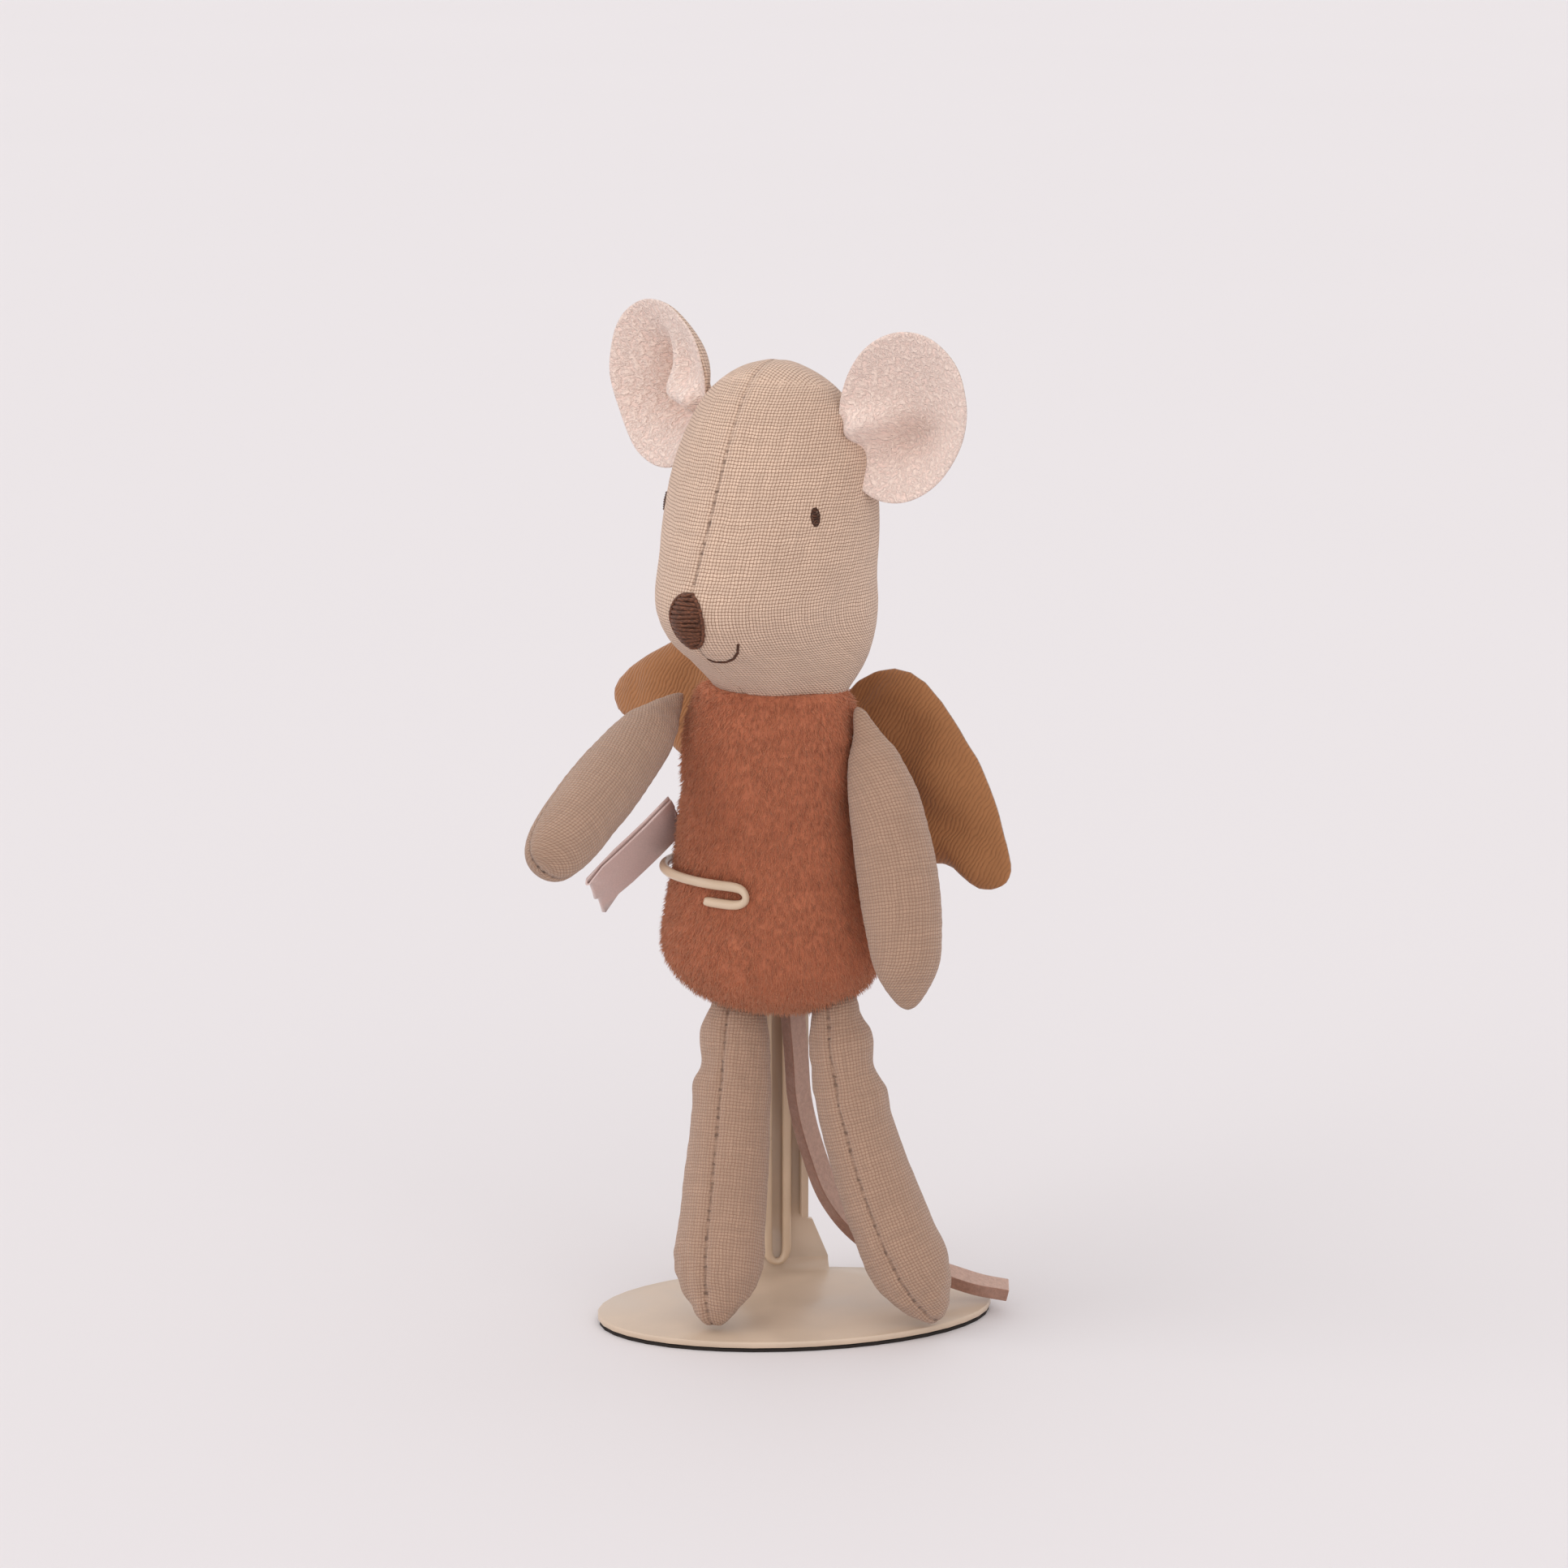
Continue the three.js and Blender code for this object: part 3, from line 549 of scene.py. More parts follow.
def stuffed_form(route, rows, facing, fullness, around, rings, point=1.0):
    """A closed form round a route, with its cloth's grid and its distance from the seams.

    Each row is a place along it, a half width and the reaches to the front and the back, in millimetres.
    The seams run along the middle of its front and its back, and its edge loops are closest there."""
    bm = bmesh.new()
    bmesh.ops.create_uvsphere(bm, u_segments=around, v_segments=rings, radius=1)
    grid = bm.loops.layers.uv.new("cloth")
    seam = bm.verts.layers.float.new("from_seam")
    loops = {}
    for vert in bm.verts:
        rise = min(1.0, max(-1.0, vert.co.z))
        turn = math.atan2(vert.co.x, -vert.co.y)
        turn -= 0.33 * math.sin(2 * turn)
        closing = (1 - abs(rise) ** fullness) ** (1 / fullness)
        share = (rise + 1) / 2
        width, front, back = row_at(rows, share)
        place, along = route.at(share)
        ahead = (facing - along * facing.dot(along)).normalized()
        side = along.cross(ahead)
        reach = front * math.cos(turn) ** point if math.cos(turn) > 0 else back * math.cos(turn)
        loops.setdefault(round(rise, 4), []).append((turn, vert))
        vert.co = place + (side * width * math.sin(turn) + ahead * reach) * closing * MM
    spread = {}
    travelled, last = 0.0, None
    for rise in sorted(loops):
        ring = sorted(loops[rise], key=lambda pair: pair[0])
        centre = sum((vert.co for _, vert in ring), Vector()) / len(ring)
        radius = sum((vert.co - centre).length for _, vert in ring) / len(ring)
        if last is not None:
            travelled += math.hypot((centre - last[0]).length, radius - last[1]) / MM
        last = (centre, radius)
        steps = [(b[1].co - a[1].co).length / MM for a, b in zip(ring, ring[1:] + ring[:1])]
        front = min(range(len(ring)), key=lambda i: abs(ring[i][0]))
        places = np.concatenate([[0], np.cumsum(steps)])
        for index, (_, vert) in enumerate(ring):
            across = float(places[index] - places[front])
            half = float(places[-1]) / 2
            spread[vert] = (across, travelled, half)
            vert[seam] = min(abs(across), abs(half - abs(across)))
    for face in bm.faces:
        wide = max(spread[vert][2] for vert in face.verts)
        known = [spread[vert][0] for vert in face.verts if spread[vert][2] > 1e-6]
        wraps = max(known) - min(known) > wide
        shown = [across + 2 * wide if wraps and across < 0 else across for across in known]
        for loop in face.loops:
            across, along, half = spread[loop.vert]
            if half <= 1e-6:
                across = sum(shown) / len(shown)
            elif wraps and across < 0:
                across += 2 * half
            loop[grid].uv = (across, along)
    return bm


def plump(thing, held, cap, surplus=0.02):
    """Swells a form by cloth pressure, as stuffing does, while its seams hold it in.

    held gives each vertex's share of being held fast, and cap is how far cloth may move, in metres."""
    mesh = thing.data
    mesh.transform(Matrix.Scale(SIM_SCALE, 4))
    group = thing.vertex_groups.new(name="held")
    for vert in mesh.vertices:
        group.add([vert.index], held(vert.co / SIM_SCALE, vert.index), "REPLACE")
    start = np.array([vert.co for vert in mesh.vertices], float)
    cloth = thing.modifiers.new("stuffing", "CLOTH")
    settings = cloth.settings
    settings.quality = 5
    settings.mass = 0.3
    settings.tension_stiffness = 12
    settings.compression_stiffness = 12
    settings.shear_stiffness = 5
    settings.bending_stiffness = 0.6
    settings.shrink_min = -surplus
    settings.use_pressure = True
    settings.uniform_pressure_force = SIM_PRESSURE
    settings.vertex_group_mass = "held"
    settings.effector_weights.gravity = 0
    cloth.point_cache.frame_start = 1
    cloth.point_cache.frame_end = SIM_FRAMES
    scene = bpy.context.scene
    for number in range(1, SIM_FRAMES + 1):
        scene.frame_set(number)
    depsgraph = bpy.context.evaluated_depsgraph_get()
    swollen = np.array([vert.co for vert in thing.evaluated_get(depsgraph).data.vertices], float)
    moved = swollen - start
    far = np.linalg.norm(moved, axis=1, keepdims=True)
    limit = cap * SIM_SCALE
    moved *= np.minimum(1.0, limit / np.maximum(far, 1e-9))
    thing.modifiers.clear()
    thing.vertex_groups.clear()
    scene.frame_set(1)
    mesh.vertices.foreach_set("co", (start + moved).ravel())
    mesh.transform(Matrix.Scale(1 / SIM_SCALE, 4))
    mesh.update()
    return thing


def shift_along_normals(thing, amount):
    """Moves each vertex along its normal by amount(place, index), in metres."""
    mesh = thing.data
    normals = [normal.vector.copy() for normal in mesh.vertex_normals]
    for vert in mesh.vertices:
        vert.co += normals[vert.index] * amount(vert.co, vert.index)
    mesh.update()
    return thing


def sink_seams(thing, depth_share=1.0):
    """Pulls the cloth in along its seams, more where stitches bite."""
    away = thing.data.attributes["from_seam"].data
    depth = sizes().seam_depth * depth_share
    width = sizes().seam_width / MM

    def amount(place, index):
        pucker = 1 + 0.35 * noise.noise(place / (0.9 * MM))
        return -depth * pucker * bell(away[index].value, width)

    return shift_along_normals(thing, amount)


def surface_tree(*things):
    """A tree for finding places on the surface of finished pieces."""
    bm = bmesh.new()
    for thing in things:
        bm.from_mesh(thing.data)
    tree = BVHTree.FromBMesh(bm)
    bm.free()
    return tree


def lay_on(bm, tree, origin, direction, across):
    """Lays a flat pattern onto a surface. The pattern's x and y are on the cloth and its z is its height."""
    up = direction.cross(across).normalized()
    if up.z < 0:
        up.negate()
    for vert in bm.verts:
        start = origin + across * vert.co.x + up * vert.co.y + direction * 12 * MM
        hit, normal, _, _ = tree.ray_cast(start, -direction)
        if hit is None:
            raise RuntimeError("a stitch lies beyond the edge of its cloth")
        vert.co = hit + normal * vert.co.z


def add_thread(bm, start, end, radius, arch):
    """One stitch of thread in a flat pattern, rounded at its ends and arched over the cloth."""
    length = (end - start).length
    turn = math.atan2(end.y - start.y, end.x - start.x)
    made = bmesh.ops.create_uvsphere(bm, u_segments=8, v_segments=10, radius=1)["verts"]
    for vert in made:
        along = vert.co.z
        shape = (1 - abs(along) ** 5) ** 0.2 / max(1e-6, math.sqrt(max(1e-9, 1 - along * along)))
        shape = min(shape, 3.0)
        x = along * length / 2
        y = vert.co.x * shape * radius
        z = vert.co.y * shape * radius + arch * (1 - along * along)
        middle = (start + end) / 2
        vert.co = Vector((
            middle.x + x * math.cos(turn) - y * math.sin(turn),
            middle.y + x * math.sin(turn) + y * math.cos(turn),
            z,
        ))


# Tail


# The tail's line in the mouse's own frame, in millimetres: down behind the legs and out over the rim.
TAIL_ROUTE = [
    (0.9, 3.2, 34), (1.5, 2.9, 28.8), (1.6, 3.6, 23.8), (2.9, 4.4, 17.5), (4.9, 4.9, 12.3), (6.9, 5.3, 9.6),
    (9.2, 5.8, 7.6), (13, 6.5, 5.6), (18, 7.6, 4), (21.2, 8.6, 3), (24, 9.8, 2.4),
]


TAIL_STEPS = 60


def smooth_line(points, steps):
    """Points close together on a smooth curve through some given ones."""
    table = np.array([list(p) for p in points], float)
    keys = np.concatenate([[0], np.cumsum(np.linalg.norm(np.diff(table, axis=0), axis=1))])
    rows = np.column_stack([keys, table])
    return [Vector(row_at(rows, i / steps)) for i in range(steps + 1)]


def build_tail():
    """A strip of suede cut square, bent only across its flat faces."""
    line = smooth_line([MOUSE_PLACE @ mm(*p) for p in TAIL_ROUTE], TAIL_STEPS)
    wide = Vector((0.4, 0.9, 0.05)).normalized()
    half_width, half_thickness = sizes().tail_width / 2, sizes().tail_thickness / 2
    bm = bmesh.new()
    edge_mark = bm.verts.layers.float.new("cut_edge")
    ring = None
    for index, place in enumerate(line):
        along = (line[min(index + 1, TAIL_STEPS)] - line[max(index - 1, 0)]).normalized()
        flat = wide - along * wide.dot(along)
        flat.normalize()
        normal = along.cross(flat)
        corners = []
        for x, y in ((-1, -1), (0, -1), (1, -1), (1, 1), (0, 1), (-1, 1)):
            corners.append(place + flat * x * half_width + normal * y * half_thickness)
        if ring is None:
            made = [bm.verts.new(corner) for corner in corners]
            bm.faces.new(made)
            ring = [edge for edge in bm.edges]
            continue
        grown = bmesh.ops.extrude_edge_only(bm, edges=ring)["geom"]
        new_verts = [g for g in grown if isinstance(g, bmesh.types.BMVert)]
        previous = made
        linked = {}
        for vert in new_verts:
            for edge in vert.link_edges:
                other = edge.other_vert(vert)
                if other in previous:
                    linked[other] = vert
        made = [linked[vert] for vert in previous]
        for vert, corner in zip(made, corners):
            vert.co = corner
        edges = [g for g in grown if isinstance(g, bmesh.types.BMEdge)]
        ring = [edge for edge in edges if all(vert in new_verts for vert in edge.verts)]
    bmesh.ops.contextual_create(bm, geom=ring)
    bmesh.ops.recalc_face_normals(bm, faces=bm.faces)
    sharp = [e for e in bm.edges if len(e.link_faces) == 2 and e.calc_face_angle() > 0.9]
    bmesh.ops.bevel(
        bm,
        geom=sharp,
        offset=0.12 * MM,
        offset_type="OFFSET",
        affect="EDGES",
        segments=2,
        profile=0.5,
        material=-1,
    )
    bm.normal_update()
    for vert in bm.verts:
        nearest = min(line, key=lambda p: (p - vert.co).length)
        index = line.index(nearest)
        along = (line[min(index + 1, TAIL_STEPS)] - line[max(index - 1, 0)]).normalized()
        flat = (wide - along * wide.dot(along)).normalized()
        vert[edge_mark] = 1.0 if abs((vert.co - nearest).dot(flat)) > half_width - 0.05 * MM else 0.0
    tail = object_from(bm, "suede_tail", smooth=False)
    place_piece(tail, suede_finish(), "doll", ["tail"])
    return tail


# Stand


def build_stand():
    """The painted plate and upright, with its rim and folds slightly rounded, and below it a thin dark pad
    that stands for the contact shadow under the rim.
    """
    bm = merged_copy("stand_plate")
    bmesh.ops.dissolve_limit(bm, angle_limit=math.radians(2), verts=bm.verts, edges=bm.edges)
    plate = object_from(bm, "painted_sheet")
    bevel = plate.modifiers.new("edges", "BEVEL")
    bevel.width = 0.12 * MM
    bevel.segments = 2
    bevel.limit_method = "ANGLE"
    bevel.angle_limit = math.radians(40)
    bake_modifiers(plate)
    finish = painted_finish("stand_paint", colours().stand_paint, 0.34)
    place_piece(plate, finish, "stand", ["stand_plate"])
    # The dark pad under the base is painted shade for the contact shadow along its rim
    pad = object_from(merged_copy("base_pad"), "backing_pad", smooth=False)
    place_piece(pad, rim_shadow_pad_finish(), "stand", ["base_pad"])


def build_wire():
    """The bent wire, as round as drawn wire is, with its waist arms sunk into the plush."""
    bm = merged_copy("wire_clip")
    bmesh.ops.join_triangles(
        bm, faces=bm.faces, angle_face_threshold=math.radians(40), angle_shape_threshold=math.radians(60)
    )
    wire = subdivide(object_from(bm, "bent_wire"), 2)
    shift_along_normals(wire, lambda place, index: 0.05 * MM)
    for vert in wire.data.vertices:
        inward = Vector((NECK.x - vert.co.x, -vert.co.y, 0)).normalized()
        vert.co += inward * 0.5 * MM * smooth_step(-vert.co.y, -8.5 * MM, -5 * MM)
    finish = painted_finish("wire_paint", colours().wire_paint, 0.3)
    place_piece(wire, finish, "doll", ["wire_clip"])


# Body


CLIP_LEVEL = 50.4  # where the wire's waist arms draw the body in
BODY_ROWS = [
    (34.8, 14.2, 10.6, 8.6), (40.8, 14.4, 11, 8.9), (44.8, 13, 10, 8.4), (CLIP_LEVEL, 11.5, 8.8, 8),
    (58.8, 10.6, 8.2, 7.6), (66.8, 10, 7.6, 7), (70.8, 9, 7, 6.6), (80.8, 8, 6, 6),
]


PILE_DENSITY = 14e6  # fibres to a square metre
BRUSHED = (0, 0, -1.15)


def straight(low, high):
    """A route straight up the mouse's middle."""
    return Route(mm(0, 0, low), mm(0, 0, (low + high) / 2), mm(0, 0, high))


def pile_nodes(fibre, density, length, combed):
    """Nodes that plant a fibre at every point of a cloth, combed one way."""
    tree = bpy.data.node_groups.new("pile", "GeometryNodeTree")
    tree.interface.new_socket("Cloth", in_out="INPUT", socket_type="NodeSocketGeometry")
    tree.interface.new_socket("Pile", in_out="OUTPUT", socket_type="NodeSocketGeometry")

    def node(kind, **settings):
        made = tree.nodes.new(kind)
        for key, value in settings.items():
            setattr(made, key, value)
        return made

    inward, outward = node("NodeGroupInput"), node("NodeGroupOutput")
    scatter = node("GeometryNodeDistributePointsOnFaces")
    scatter.inputs["Density"].default_value = density
    scatter.inputs["Seed"].default_value = 7
    sway = node("FunctionNodeRandomValue", data_type="FLOAT_VECTOR")
    sway.inputs[0].default_value = (-0.55, -0.55, -0.35)
    sway.inputs[1].default_value = (0.55, 0.55, 0.35)
    sway.inputs["Seed"].default_value = 3
    lean = node("ShaderNodeVectorMath", operation="ADD")
    lean.inputs[1].default_value = combed
    lie = node("ShaderNodeVectorMath", operation="ADD")
    turn = node("FunctionNodeAlignRotationToVector", axis="Z")
    grown = node("FunctionNodeRandomValue", data_type="FLOAT")
    grown.inputs[2].default_value = 0.7 * length
    grown.inputs[3].default_value = 1.25 * length
    grown.inputs["Seed"].default_value = 11
    info = node("GeometryNodeObjectInfo")
    info.inputs[0].default_value = fibre
    plant = node("GeometryNodeInstanceOnPoints")
    real = node("GeometryNodeRealizeInstances")
    for a, b in (
        (inward.outputs[0], scatter.inputs["Mesh"]),
        (scatter.outputs["Normal"], lean.inputs[0]),
        (lean.outputs[0], lie.inputs[0]),
        (sway.outputs[0], lie.inputs[1]),
        (lie.outputs[0], turn.inputs["Vector"]),
        (scatter.outputs["Points"], plant.inputs["Points"]),
        (info.outputs["Geometry"], plant.inputs["Instance"]),
        (turn.outputs[0], plant.inputs["Rotation"]),
        (grown.outputs[1], plant.inputs["Scale"]),
        (plant.outputs[0], real.inputs[0]),
        (real.outputs[0], outward.inputs[0]),
    ):
        tree.links.new(a, b)
    return tree


def grow_pile(name, cloth, density, length, width, combed):
    """The pile of a cloth as one mesh of thin tapering fibres, a fibre being one unit long in the pattern."""
    bm = bmesh.new()
    bmesh.ops.create_cone(bm, cap_ends=False, segments=3, radius1=width / length / 2, radius2=0, depth=1)
    bmesh.ops.translate(bm, verts=bm.verts, vec=(0, 0, 0.42))
    fibre = object_from(bm, f"{name}_fibre")
    pile = bpy.data.objects.new(name, cloth.data.copy())
    bpy.context.scene.collection.objects.link(pile)
    modifier = pile.modifiers.new("pile", "NODES")
    modifier.node_group = pile_nodes(fibre, density, length, combed)
    bake_modifiers(pile)
    bpy.data.objects.remove(fibre)
    return pile


def build_body():
    """The plush body, drawn in at the clip, with its pile brushed downwards."""
    route = straight(35.6, 80.8)
    bm = stuffed_form(route, BODY_ROWS, FRONT, fullness=3.2, around=96, rings=72)
    bm.transform(MOUSE_PLACE)
    body = object_from(bm, "plush_body")
    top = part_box("body_front_panel")[1].z
    shift_along_normals(body, lambda place, index: -0.3 * MM)
    clip = CLIP_LEVEL * MM

    def held(place, index):
        return max(smooth_step(place.z, top - 3 * MM, top), 0.3 * bell(place.z - clip, 1.5 * MM))

    plump(body, held, 0.6 * MM)
    for vert in body.data.vertices:
        over = vert.co.z - top
        if over > 0:
            vert.co.z = top + 0.05 * over
            vert.co.x += (NECK.x - vert.co.x) * min(0.5, over / (6 * MM))
            vert.co.y += -vert.co.y * min(0.5, over / (6 * MM))
    subdivide(body)

    def press(place, index):
        behind = smooth_step(place.y, 5 * MM, 8 * MM) * 0.5
        return -(0.15 - behind * 0.2) * MM * bell(place.z - clip, 0.9 * MM)

    shift_along_normals(body, press)
    panels = ["body_front_panel", "body_back_panel", "body_stuffing"]
    place_piece(body, plush_finish("plush_backing", True), None, panels)
    length, width = sizes().pile_length, sizes().pile_width
    pile = grow_pile("plush_pile", body, PILE_DENSITY, length, width, BRUSHED)
    place_piece(pile, plush_finish("plush_pile", False), "doll")
    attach(body, "doll")


# Head


HEAD_ROWS = [
    (-6, 9.5, 8, 9), (0, 10, 8.6, 9.2), (3, 10.8, 12.4, 9.3), (6, 11.3, 16, 9.4), (9.5, 11.7, 17.4, 9.5),
    (14.5, 12, 15.2, 9.5), (21, 12.5, 12.7, 10.1), (27, 13.2, 11.3, 11.2), (35.3, 14.1, 11.5, 12.5),
]
NECK_LINE = 70.8
SMILE_LEVEL = 78.6
EYES_BACK = {"right": -10, "left": 4.5}  # degrees round the head from where the solids are


def build_head():
    """The head of two side panels, seamed over the forehead, under the chin and down the back."""
    route = straight(NECK_LINE + HEAD_ROWS[0][0], NECK_LINE + HEAD_ROWS[-1][0])
    bm = stuffed_form(route, HEAD_ROWS, FRONT, fullness=2, around=112, rings=84, point=1.25)
    bm.transform(HEAD_PLACE)
    head = object_from(bm, "linen_head")
    away = head.data.attributes["from_seam"].data
    neck = NECK.z
    shift_along_normals(head, lambda place, index: -0.1 * MM * smooth_step(away[index].value, 0, 3))

    def held(place, index):
        return max(smooth_step(place.z, neck + 2 * MM, neck), 0.9 * bell(away[index].value, 0.6))

    plump(head, held, 0.5 * MM)
    subdivide(head)
    sink_seams(head, 0.7)
    for vert in head.data.vertices:
        out = Vector((vert.co.x - NECK.x, vert.co.y, 0))
        behind = smooth_step(-out.dot(HEAD_FRONT), -4 * MM, 3 * MM)
        low = 1 - smooth_step(vert.co.z, neck + 1 * MM, neck + 15 * MM)
        vert.co += out.normalized() * 1.5 * MM * behind * low
    shift_along_normals(head, lambda place, index: 0.22 * MM * noise.noise(place / (5 * MM)))
    for vert in head.data.vertices:
        if vert.co.z < neck - 1.5 * MM:
            vert.co.z = neck - 1.5 * MM + (vert.co.z - neck + 1.5 * MM) * 0.2
    panels = ["head_panel_right", "head_panel_left", "head_stuffing"]
    place_piece(head, linen_finish("head_linen", crown=True), "head", panels)
    return head


def satin_oval(half_width, half_height, threads, thread, rim):
    """A padded oval of satin stitch, with a ring of stitches round its edge."""
    bm = bmesh.new()
    core = bmesh.ops.create_uvsphere(bm, u_segments=32, v_segments=16, radius=1)["verts"]
    for vert in core:
        x, y, z = vert.co
        vert.co = Vector((x * half_width * 0.95, y * half_height * 0.95, z * thread * 0.9))
    for index in range(threads):
        share = (index + 0.5) / threads * 2 - 1
        reach = half_width * math.sqrt(max(0.02, 1 - share * share))
        jitter = 0.09 * math.sin(index * 12.9)
        slant = half_height / threads * (0.5 + 0.6 * math.sin(index * 7.3))
        start = Vector((-reach * (1 + jitter), half_height * share - slant, 0))
        end = Vector((reach * (1 - jitter), half_height * share + slant, 0))
        add_thread(bm, start, end, thread, arch=thread * (2.0 - 0.8 * abs(share)))
    for index in range(rim):
        turn = 2 * math.pi * index / rim
        step = 2 * math.pi / rim * 0.8
        first, last = [
            Vector((half_width * math.cos(a), half_height * math.sin(a), 0))
            for a in (turn - step, turn + step)
        ]
        add_thread(bm, first, last, thread * 0.9, arch=thread * 0.6)
    return bm


def build_face(head):
    """Nose, eyes and smile, embroidered on the finished head."""
    tree = surface_tree(head)
    across = (-HEAD_FRONT).cross(UP).normalized()
    low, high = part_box("nose_embroidery")
    bm = satin_oval(half_width=2.1 * MM, half_height=2.95 * MM, threads=14, thread=0.2 * MM, rim=22)
    middle = Vector((NECK.x, 0, (low.z + high.z) / 2))
    lay_on(bm, tree, middle + HEAD_FRONT * 15 * MM - across * 0.4 * MM, HEAD_FRONT, across)
    nose = object_from(bm, "nose_threads")
    brown = embroidery_finish("nose_thread", colours().thread)
    place_piece(nose, brown, "head", ["nose_embroidery"])
    dark = embroidery_finish("eye_thread", shade(colours().thread, 0.6))
    for name, back in EYES_BACK.items():
        low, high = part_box(f"eye_{name}")
        about = Vector((NECK.x, 0, (low.z + high.z) / 2))
        outward = Matrix.Rotation(math.radians(back), 3, "Z") @ ((low + high) / 2 - about).normalized()
        bm = satin_oval(half_width=0.5 * MM, half_height=1 * MM, threads=8, thread=0.11 * MM, rim=12)
        bmesh.ops.translate(bm, verts=bm.verts, vec=(0, 0, -0.08 * MM))
        lay_on(bm, tree, about + outward * 10 * MM, outward, (-outward).cross(UP).normalized())
        eye = object_from(bm, f"eye_{name}_threads")
        place_piece(eye, dark, "head", [f"eye_{name}"])
    bm = bmesh.new()
    angles = [math.radians(245 + 100 * i / 5) for i in range(6)]
    arc = [mm(1.2 + 3.15 * math.cos(a), 3.15 * math.sin(a), 0) for a in angles]
    for a, b in zip(arc, arc[1:]):
        add_thread(bm, a, b + (b - a) * 0.15, 0.1 * MM, arch=0.06 * MM)
    chin = Vector((NECK.x, 0, SMILE_LEVEL * MM))
    lay_on(bm, tree, chin + HEAD_FRONT * 12 * MM, HEAD_FRONT, across)
    mouth = object_from(bm, "smile_thread")
    place_piece(mouth, dark, "head", ["mouth_stitch"])


# Ears and wings


def sewn_pair(name, reach, thickness, lift, place, around, rings):
    """The front and the back of a flat piece that is sewn round its edge and turned right side out.

    reach(turn) is its outline from its middle, and lift(x, y) is how far its middle layer stands forwards."""
    halves = []
    for side in (1, -1):
        bm = bmesh.new()
        bmesh.ops.create_uvsphere(bm, u_segments=around, v_segments=2 * rings, radius=1)
        grid = bm.loops.layers.uv.new("cloth")
        seam = bm.verts.layers.float.new("from_seam")
        other = [vert for vert in bm.verts if vert.co.z * side < -1e-4]
        bmesh.ops.delete(bm, geom=other, context="VERTS")
        flat = {}
        for vert in bm.verts:
            turn = math.atan2(vert.co.y, vert.co.x)
            out = math.hypot(vert.co.x, vert.co.y)
            limit = reach(turn)
            x, y = math.cos(turn) * out * limit, math.sin(turn) * out * limit
            puff = math.sqrt(max(0.0, 1 - out ** 4)) * thickness / 2
            flat[vert] = (x / MM, y / MM)
            vert[seam] = abs((1 - out) * limit / MM - 1.0) + 0.02
            vert.co = Vector((x, y, side * puff + lift(x, y)))
        for face in bm.faces:
            for loop in face.loops:
                loop[grid].uv = flat[loop.vert]
        bm.transform(place)
        half = object_from(bm, f"{name}_{'front' if side > 0 else 'back'}_cloth")
        wall = half.modifiers.new("cloth", "SOLIDIFY")
        wall.thickness = 0.3 * MM
        wall.offset = -1
        bake_modifiers(half)
        halves.append(half)
    return halves


EAR_THICKNESS = 2.3 * MM
WING_THICKNESS = 2.6 * MM

# Each ear's side, place across and up on the head, lean and turn in degrees
EARS = {"right": (-1, -14.8, 102.6, -14, -13), "left": (1, 15.8, 101, 14, 6)}


def build_ears():
    """Pink-lined ears, cupped, with a pinched fold that runs into the seam on the head."""
    width, height = sizes().ear_width / 2, sizes().ear_height / 2

    def reach(turn):
        oval = width * height / math.hypot(height * math.cos(turn), width * math.sin(turn))
        return oval * (1 + 0.015 * math.sin(3 * turn + 0.6))

    linen = linen_finish("ear_linen", seam=False)
    pink = brushed_finish()
    for name, (side, across, level, lean, turned) in EARS.items():

        def lift(x, y):
            out = math.hypot(x / width, y / height)
            cup = -4.1 * MM * max(0.0, 1 - out ** 2.2)
            root = Vector((-side * 0.86, -0.5)).normalized()
            inward = (x * root.x + y * root.y)
            beside = (x * root.y - y * root.x) * side
            ridge = smooth_step(inward, -1.0 * MM, 5.0 * MM)
            ridge *= 1 - smooth_step(out, 0.72, 0.97)
            cup += 3.2 * MM * ridge * bell(beside, 1.7 * MM)
            cup -= 2.8 * MM * bell(beside + 2.4 * MM, 2.1 * MM) * bell(inward - 1.5 * MM, 4.2 * MM)
            if side < 0:
                cup += 2.4 * MM * bell(x - 2.3 * MM, 1.3 * MM) * bell(y, 4.5 * MM)
                cup -= 2.6 * MM * bell(x + 0.8 * MM, 1.7 * MM) * bell(y - 1.5 * MM, 3.8 * MM)
            return cup + 0.25 * MM * noise.noise(Vector((x, y, side)) / (4 * MM))

        facing = Matrix(((1, 0, 0, 0), (0, 0, -1, 0), (0, 1, 0, 0), (0, 0, 0, 1)))
        own = Matrix.Rotation(math.radians(turned), 4, "Z") @ Matrix.Rotation(math.radians(lean), 4, "Y")
        place = HEAD_PLACE @ Matrix.Translation(mm(across, 0, level)) @ own @ facing
        front, back = sewn_pair(f"ear_{name}", reach, EAR_THICKNESS, lift, place, around=96, rings=20)
        place_piece(front, pink, f"ear_{name}", [f"ear_{name}_front"])
        place_piece(back, linen, f"ear_{name}", [f"ear_{name}_back"])


def flat_outline(node):
    """Centre, axes and outline of a flat CAD piece, for making the soft one the same."""
    bm = merged_copy(node)
    front = max(bm.faces, key=lambda face: face.calc_area() * (face.normal.y < -0.5))
    normal = front.normal.copy()
    faces = [face for face in bm.faces if face.normal.dot(normal) > 0.99]
    area = sum(face.calc_area() for face in faces)
    centre = sum((face.calc_center_median() * face.calc_area() for face in faces), Vector()) / area
    centre -= normal * 0.25 * MM
    level = UP.cross(normal).normalized()
    upward = normal.cross(level)
    tree = BVHTree.FromBMesh(bm)
    bm.free()

    def reach(turn):
        hit = tree.ray_cast(centre, level * math.cos(turn) + upward * math.sin(turn))
        return hit[3]

    return centre, level, upward, normal, reach


